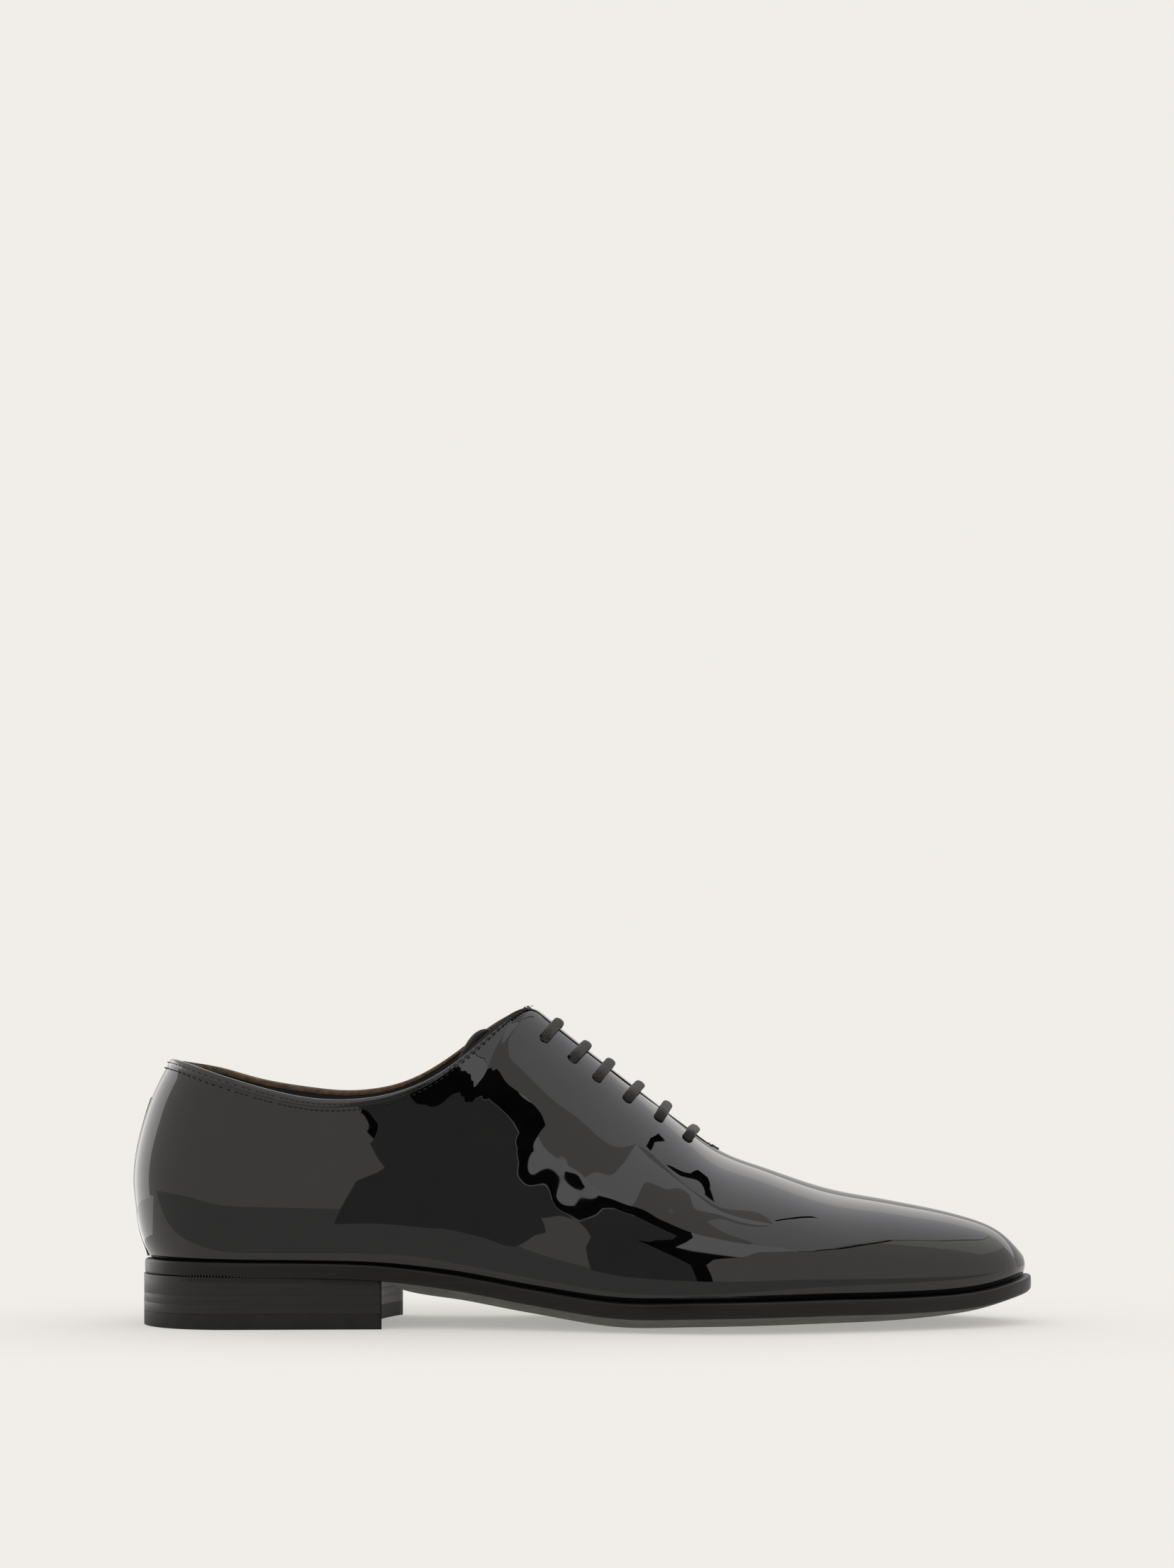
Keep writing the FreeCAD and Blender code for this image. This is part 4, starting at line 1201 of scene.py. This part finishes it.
TOE_EDGE = [(0.3, -0.7), (0.46, -0.62), (0.57, -0.5), (0.59, -0.33), (0.57, -0.15), (0.57, 0.0), (0.71, 0.12),
            (0.86, 0.4)]
VAMP_EDGE = [(0.3, 0.02), (0.36, 0.14), (0.42, 0.3)]
BACKDROP = (0.877, 0.853, 0.813)
SHADOW_FILL = 0.4  # how much of the floor's brightness no shadow takes away
FADE_START, FADE_END = 0.14, 0.34  # where the floor begins to fade and where it is gone
PAPER = 0.97  # how much light the floor's paper gives back


def build_floor():
    """Pale paper that fades into the backdrop, so that no horizon shows."""
    mesh = bpy.data.meshes.new("floor")
    size = 4.0
    corners = [(-size, -size, 0), (size, -size, 0), (size, size, 0), (-size, size, 0)]
    mesh.from_pydata(corners, [], [(0, 1, 2, 3)])
    floor = bpy.data.objects.new("floor", mesh)
    bpy.context.scene.collection.objects.link(floor)
    material = bpy.data.materials.new("floor")
    material.use_nodes = True
    nodes, links = material.node_tree.nodes, material.node_tree.links
    paper = nodes["Principled BSDF"]
    paper.inputs["Roughness"].default_value = 1.0
    paper.inputs["Specular IOR Level"].default_value = 0.0
    paper.inputs["Emission Color"].default_value = (*BACKDROP, 1)
    paper.inputs["Emission Strength"].default_value = SHADOW_FILL
    paper.inputs["Base Color"].default_value = ((1 - SHADOW_FILL) * PAPER,) * 3 + (1,)
    spot = nodes.new("ShaderNodeTexCoord")
    squeeze = nodes.new("ShaderNodeMapping")
    squeeze.inputs["Scale"].default_value = (1, 2, 1)
    links.new(spot.outputs["Object"], squeeze.inputs["Vector"])
    length = nodes.new("ShaderNodeVectorMath")
    length.operation = "LENGTH"
    links.new(squeeze.outputs["Vector"], length.inputs[0])
    fade = nodes.new("ShaderNodeMapRange")
    fade.interpolation_type = "SMOOTHSTEP"
    fade.inputs["From Min"].default_value = FADE_START
    fade.inputs["From Max"].default_value = FADE_END
    links.new(length.outputs["Value"], fade.inputs["Value"])
    blend = nodes.new("ShaderNodeMixShader")
    clear = nodes.new("ShaderNodeBsdfTransparent")
    links.new(fade.outputs["Result"], blend.inputs["Fac"])
    links.new(paper.outputs[0], blend.inputs[1])
    links.new(clear.outputs[0], blend.inputs[2])
    links.new(blend.outputs[0], nodes["Material Output"].inputs["Surface"])
    mesh.materials.append(material)


def overhead(name, outline, colour, strength, drop=0.0):
    """A card in the plane overhead, lowered by drop."""
    card(name, [(x, y, OVERHEAD - drop) for x, y in outline], colour, strength)


def build_studio():
    """An even pale room, softboxes overhead and behind, and a few dark cards before the shoe."""
    bpy.context.scene.view_settings.view_transform = "Standard"
    world = bpy.data.worlds.new("studio")
    bpy.context.scene.world = world
    world.use_nodes = True
    world.node_tree.nodes["Background"].inputs["Color"].default_value = (*BACKDROP, 1)
    build_floor()
    white = (1.0, 0.985, 0.965)
    cool = (0.97, 0.97, 1.0)
    black = (0.0, 0.0, 0.0)
    card("floor_reflection", [(-2, -2.5, 0.001), (2, -2.5, 0.001), (2, -0.075, 0.001), (-2, -0.075, 0.001)],
         white, 0.56)
    upright("front_shade", FRONT, FRONT_SHADE, white, 0.28)
    upright("front_flag", FRONT + 0.001, FRONT_FLAG, black, 0.0)
    upright("front_softbox", FRONT - 0.001, FRONT_SOFTBOX, cool, 1.6)
    overhead("left_softbox", LEFT_SOFTBOX, cool, 1.5)
    overhead("right_softbox", RIGHT_SOFTBOX, cool, 1.35)
    overhead("far_softbox", FAR_SOFTBOX, white, 1.2)
    for name, route, width in (("toe_edge", TOE_EDGE, 0.014), ("vamp_edge", VAMP_EDGE, 0.012)):
        overhead(name, route + [(x + width, y) for x, y in route[::-1]], black, 0.0, 0.002)
    upright("back_softbox", 0.75, [(-0.3, 0.36), (1.4, 0.36), (1.4, 0.79), (-0.3, 0.79)], white, 1.6)
    upright("back_shade", 0.76, [(-0.2, 0.002), (1.4, 0.002), (1.4, 0.36), (-0.2, 0.36)], white, 0.62)
    low = 0.0015
    card("heel_floor_softbox", [(-0.9, 0.02, low), (-0.25, 0.02, low), (-0.25, 0.6, low), (-0.9, 0.6, low)],
         white, 1.6)
    card("heel_softbox", [(-0.75, 0.1, 0.002), (-0.55, 0.6, 0.002), (-0.55, 0.6, 0.4), (-0.75, 0.1, 0.4)],
         white, 2.0)


build_camera()
build_studio()
build_lace_tail("a", LACE_TAIL_A)
build_lace_tail("b", LACE_TAIL_B)
build_upper()
build_band()
build_lining()
build_stitching()
build_back_seam()
build_outsole()
build_heel()
build_lace_bars()
build_bar_tack()
build_tongue()
dress_inside()
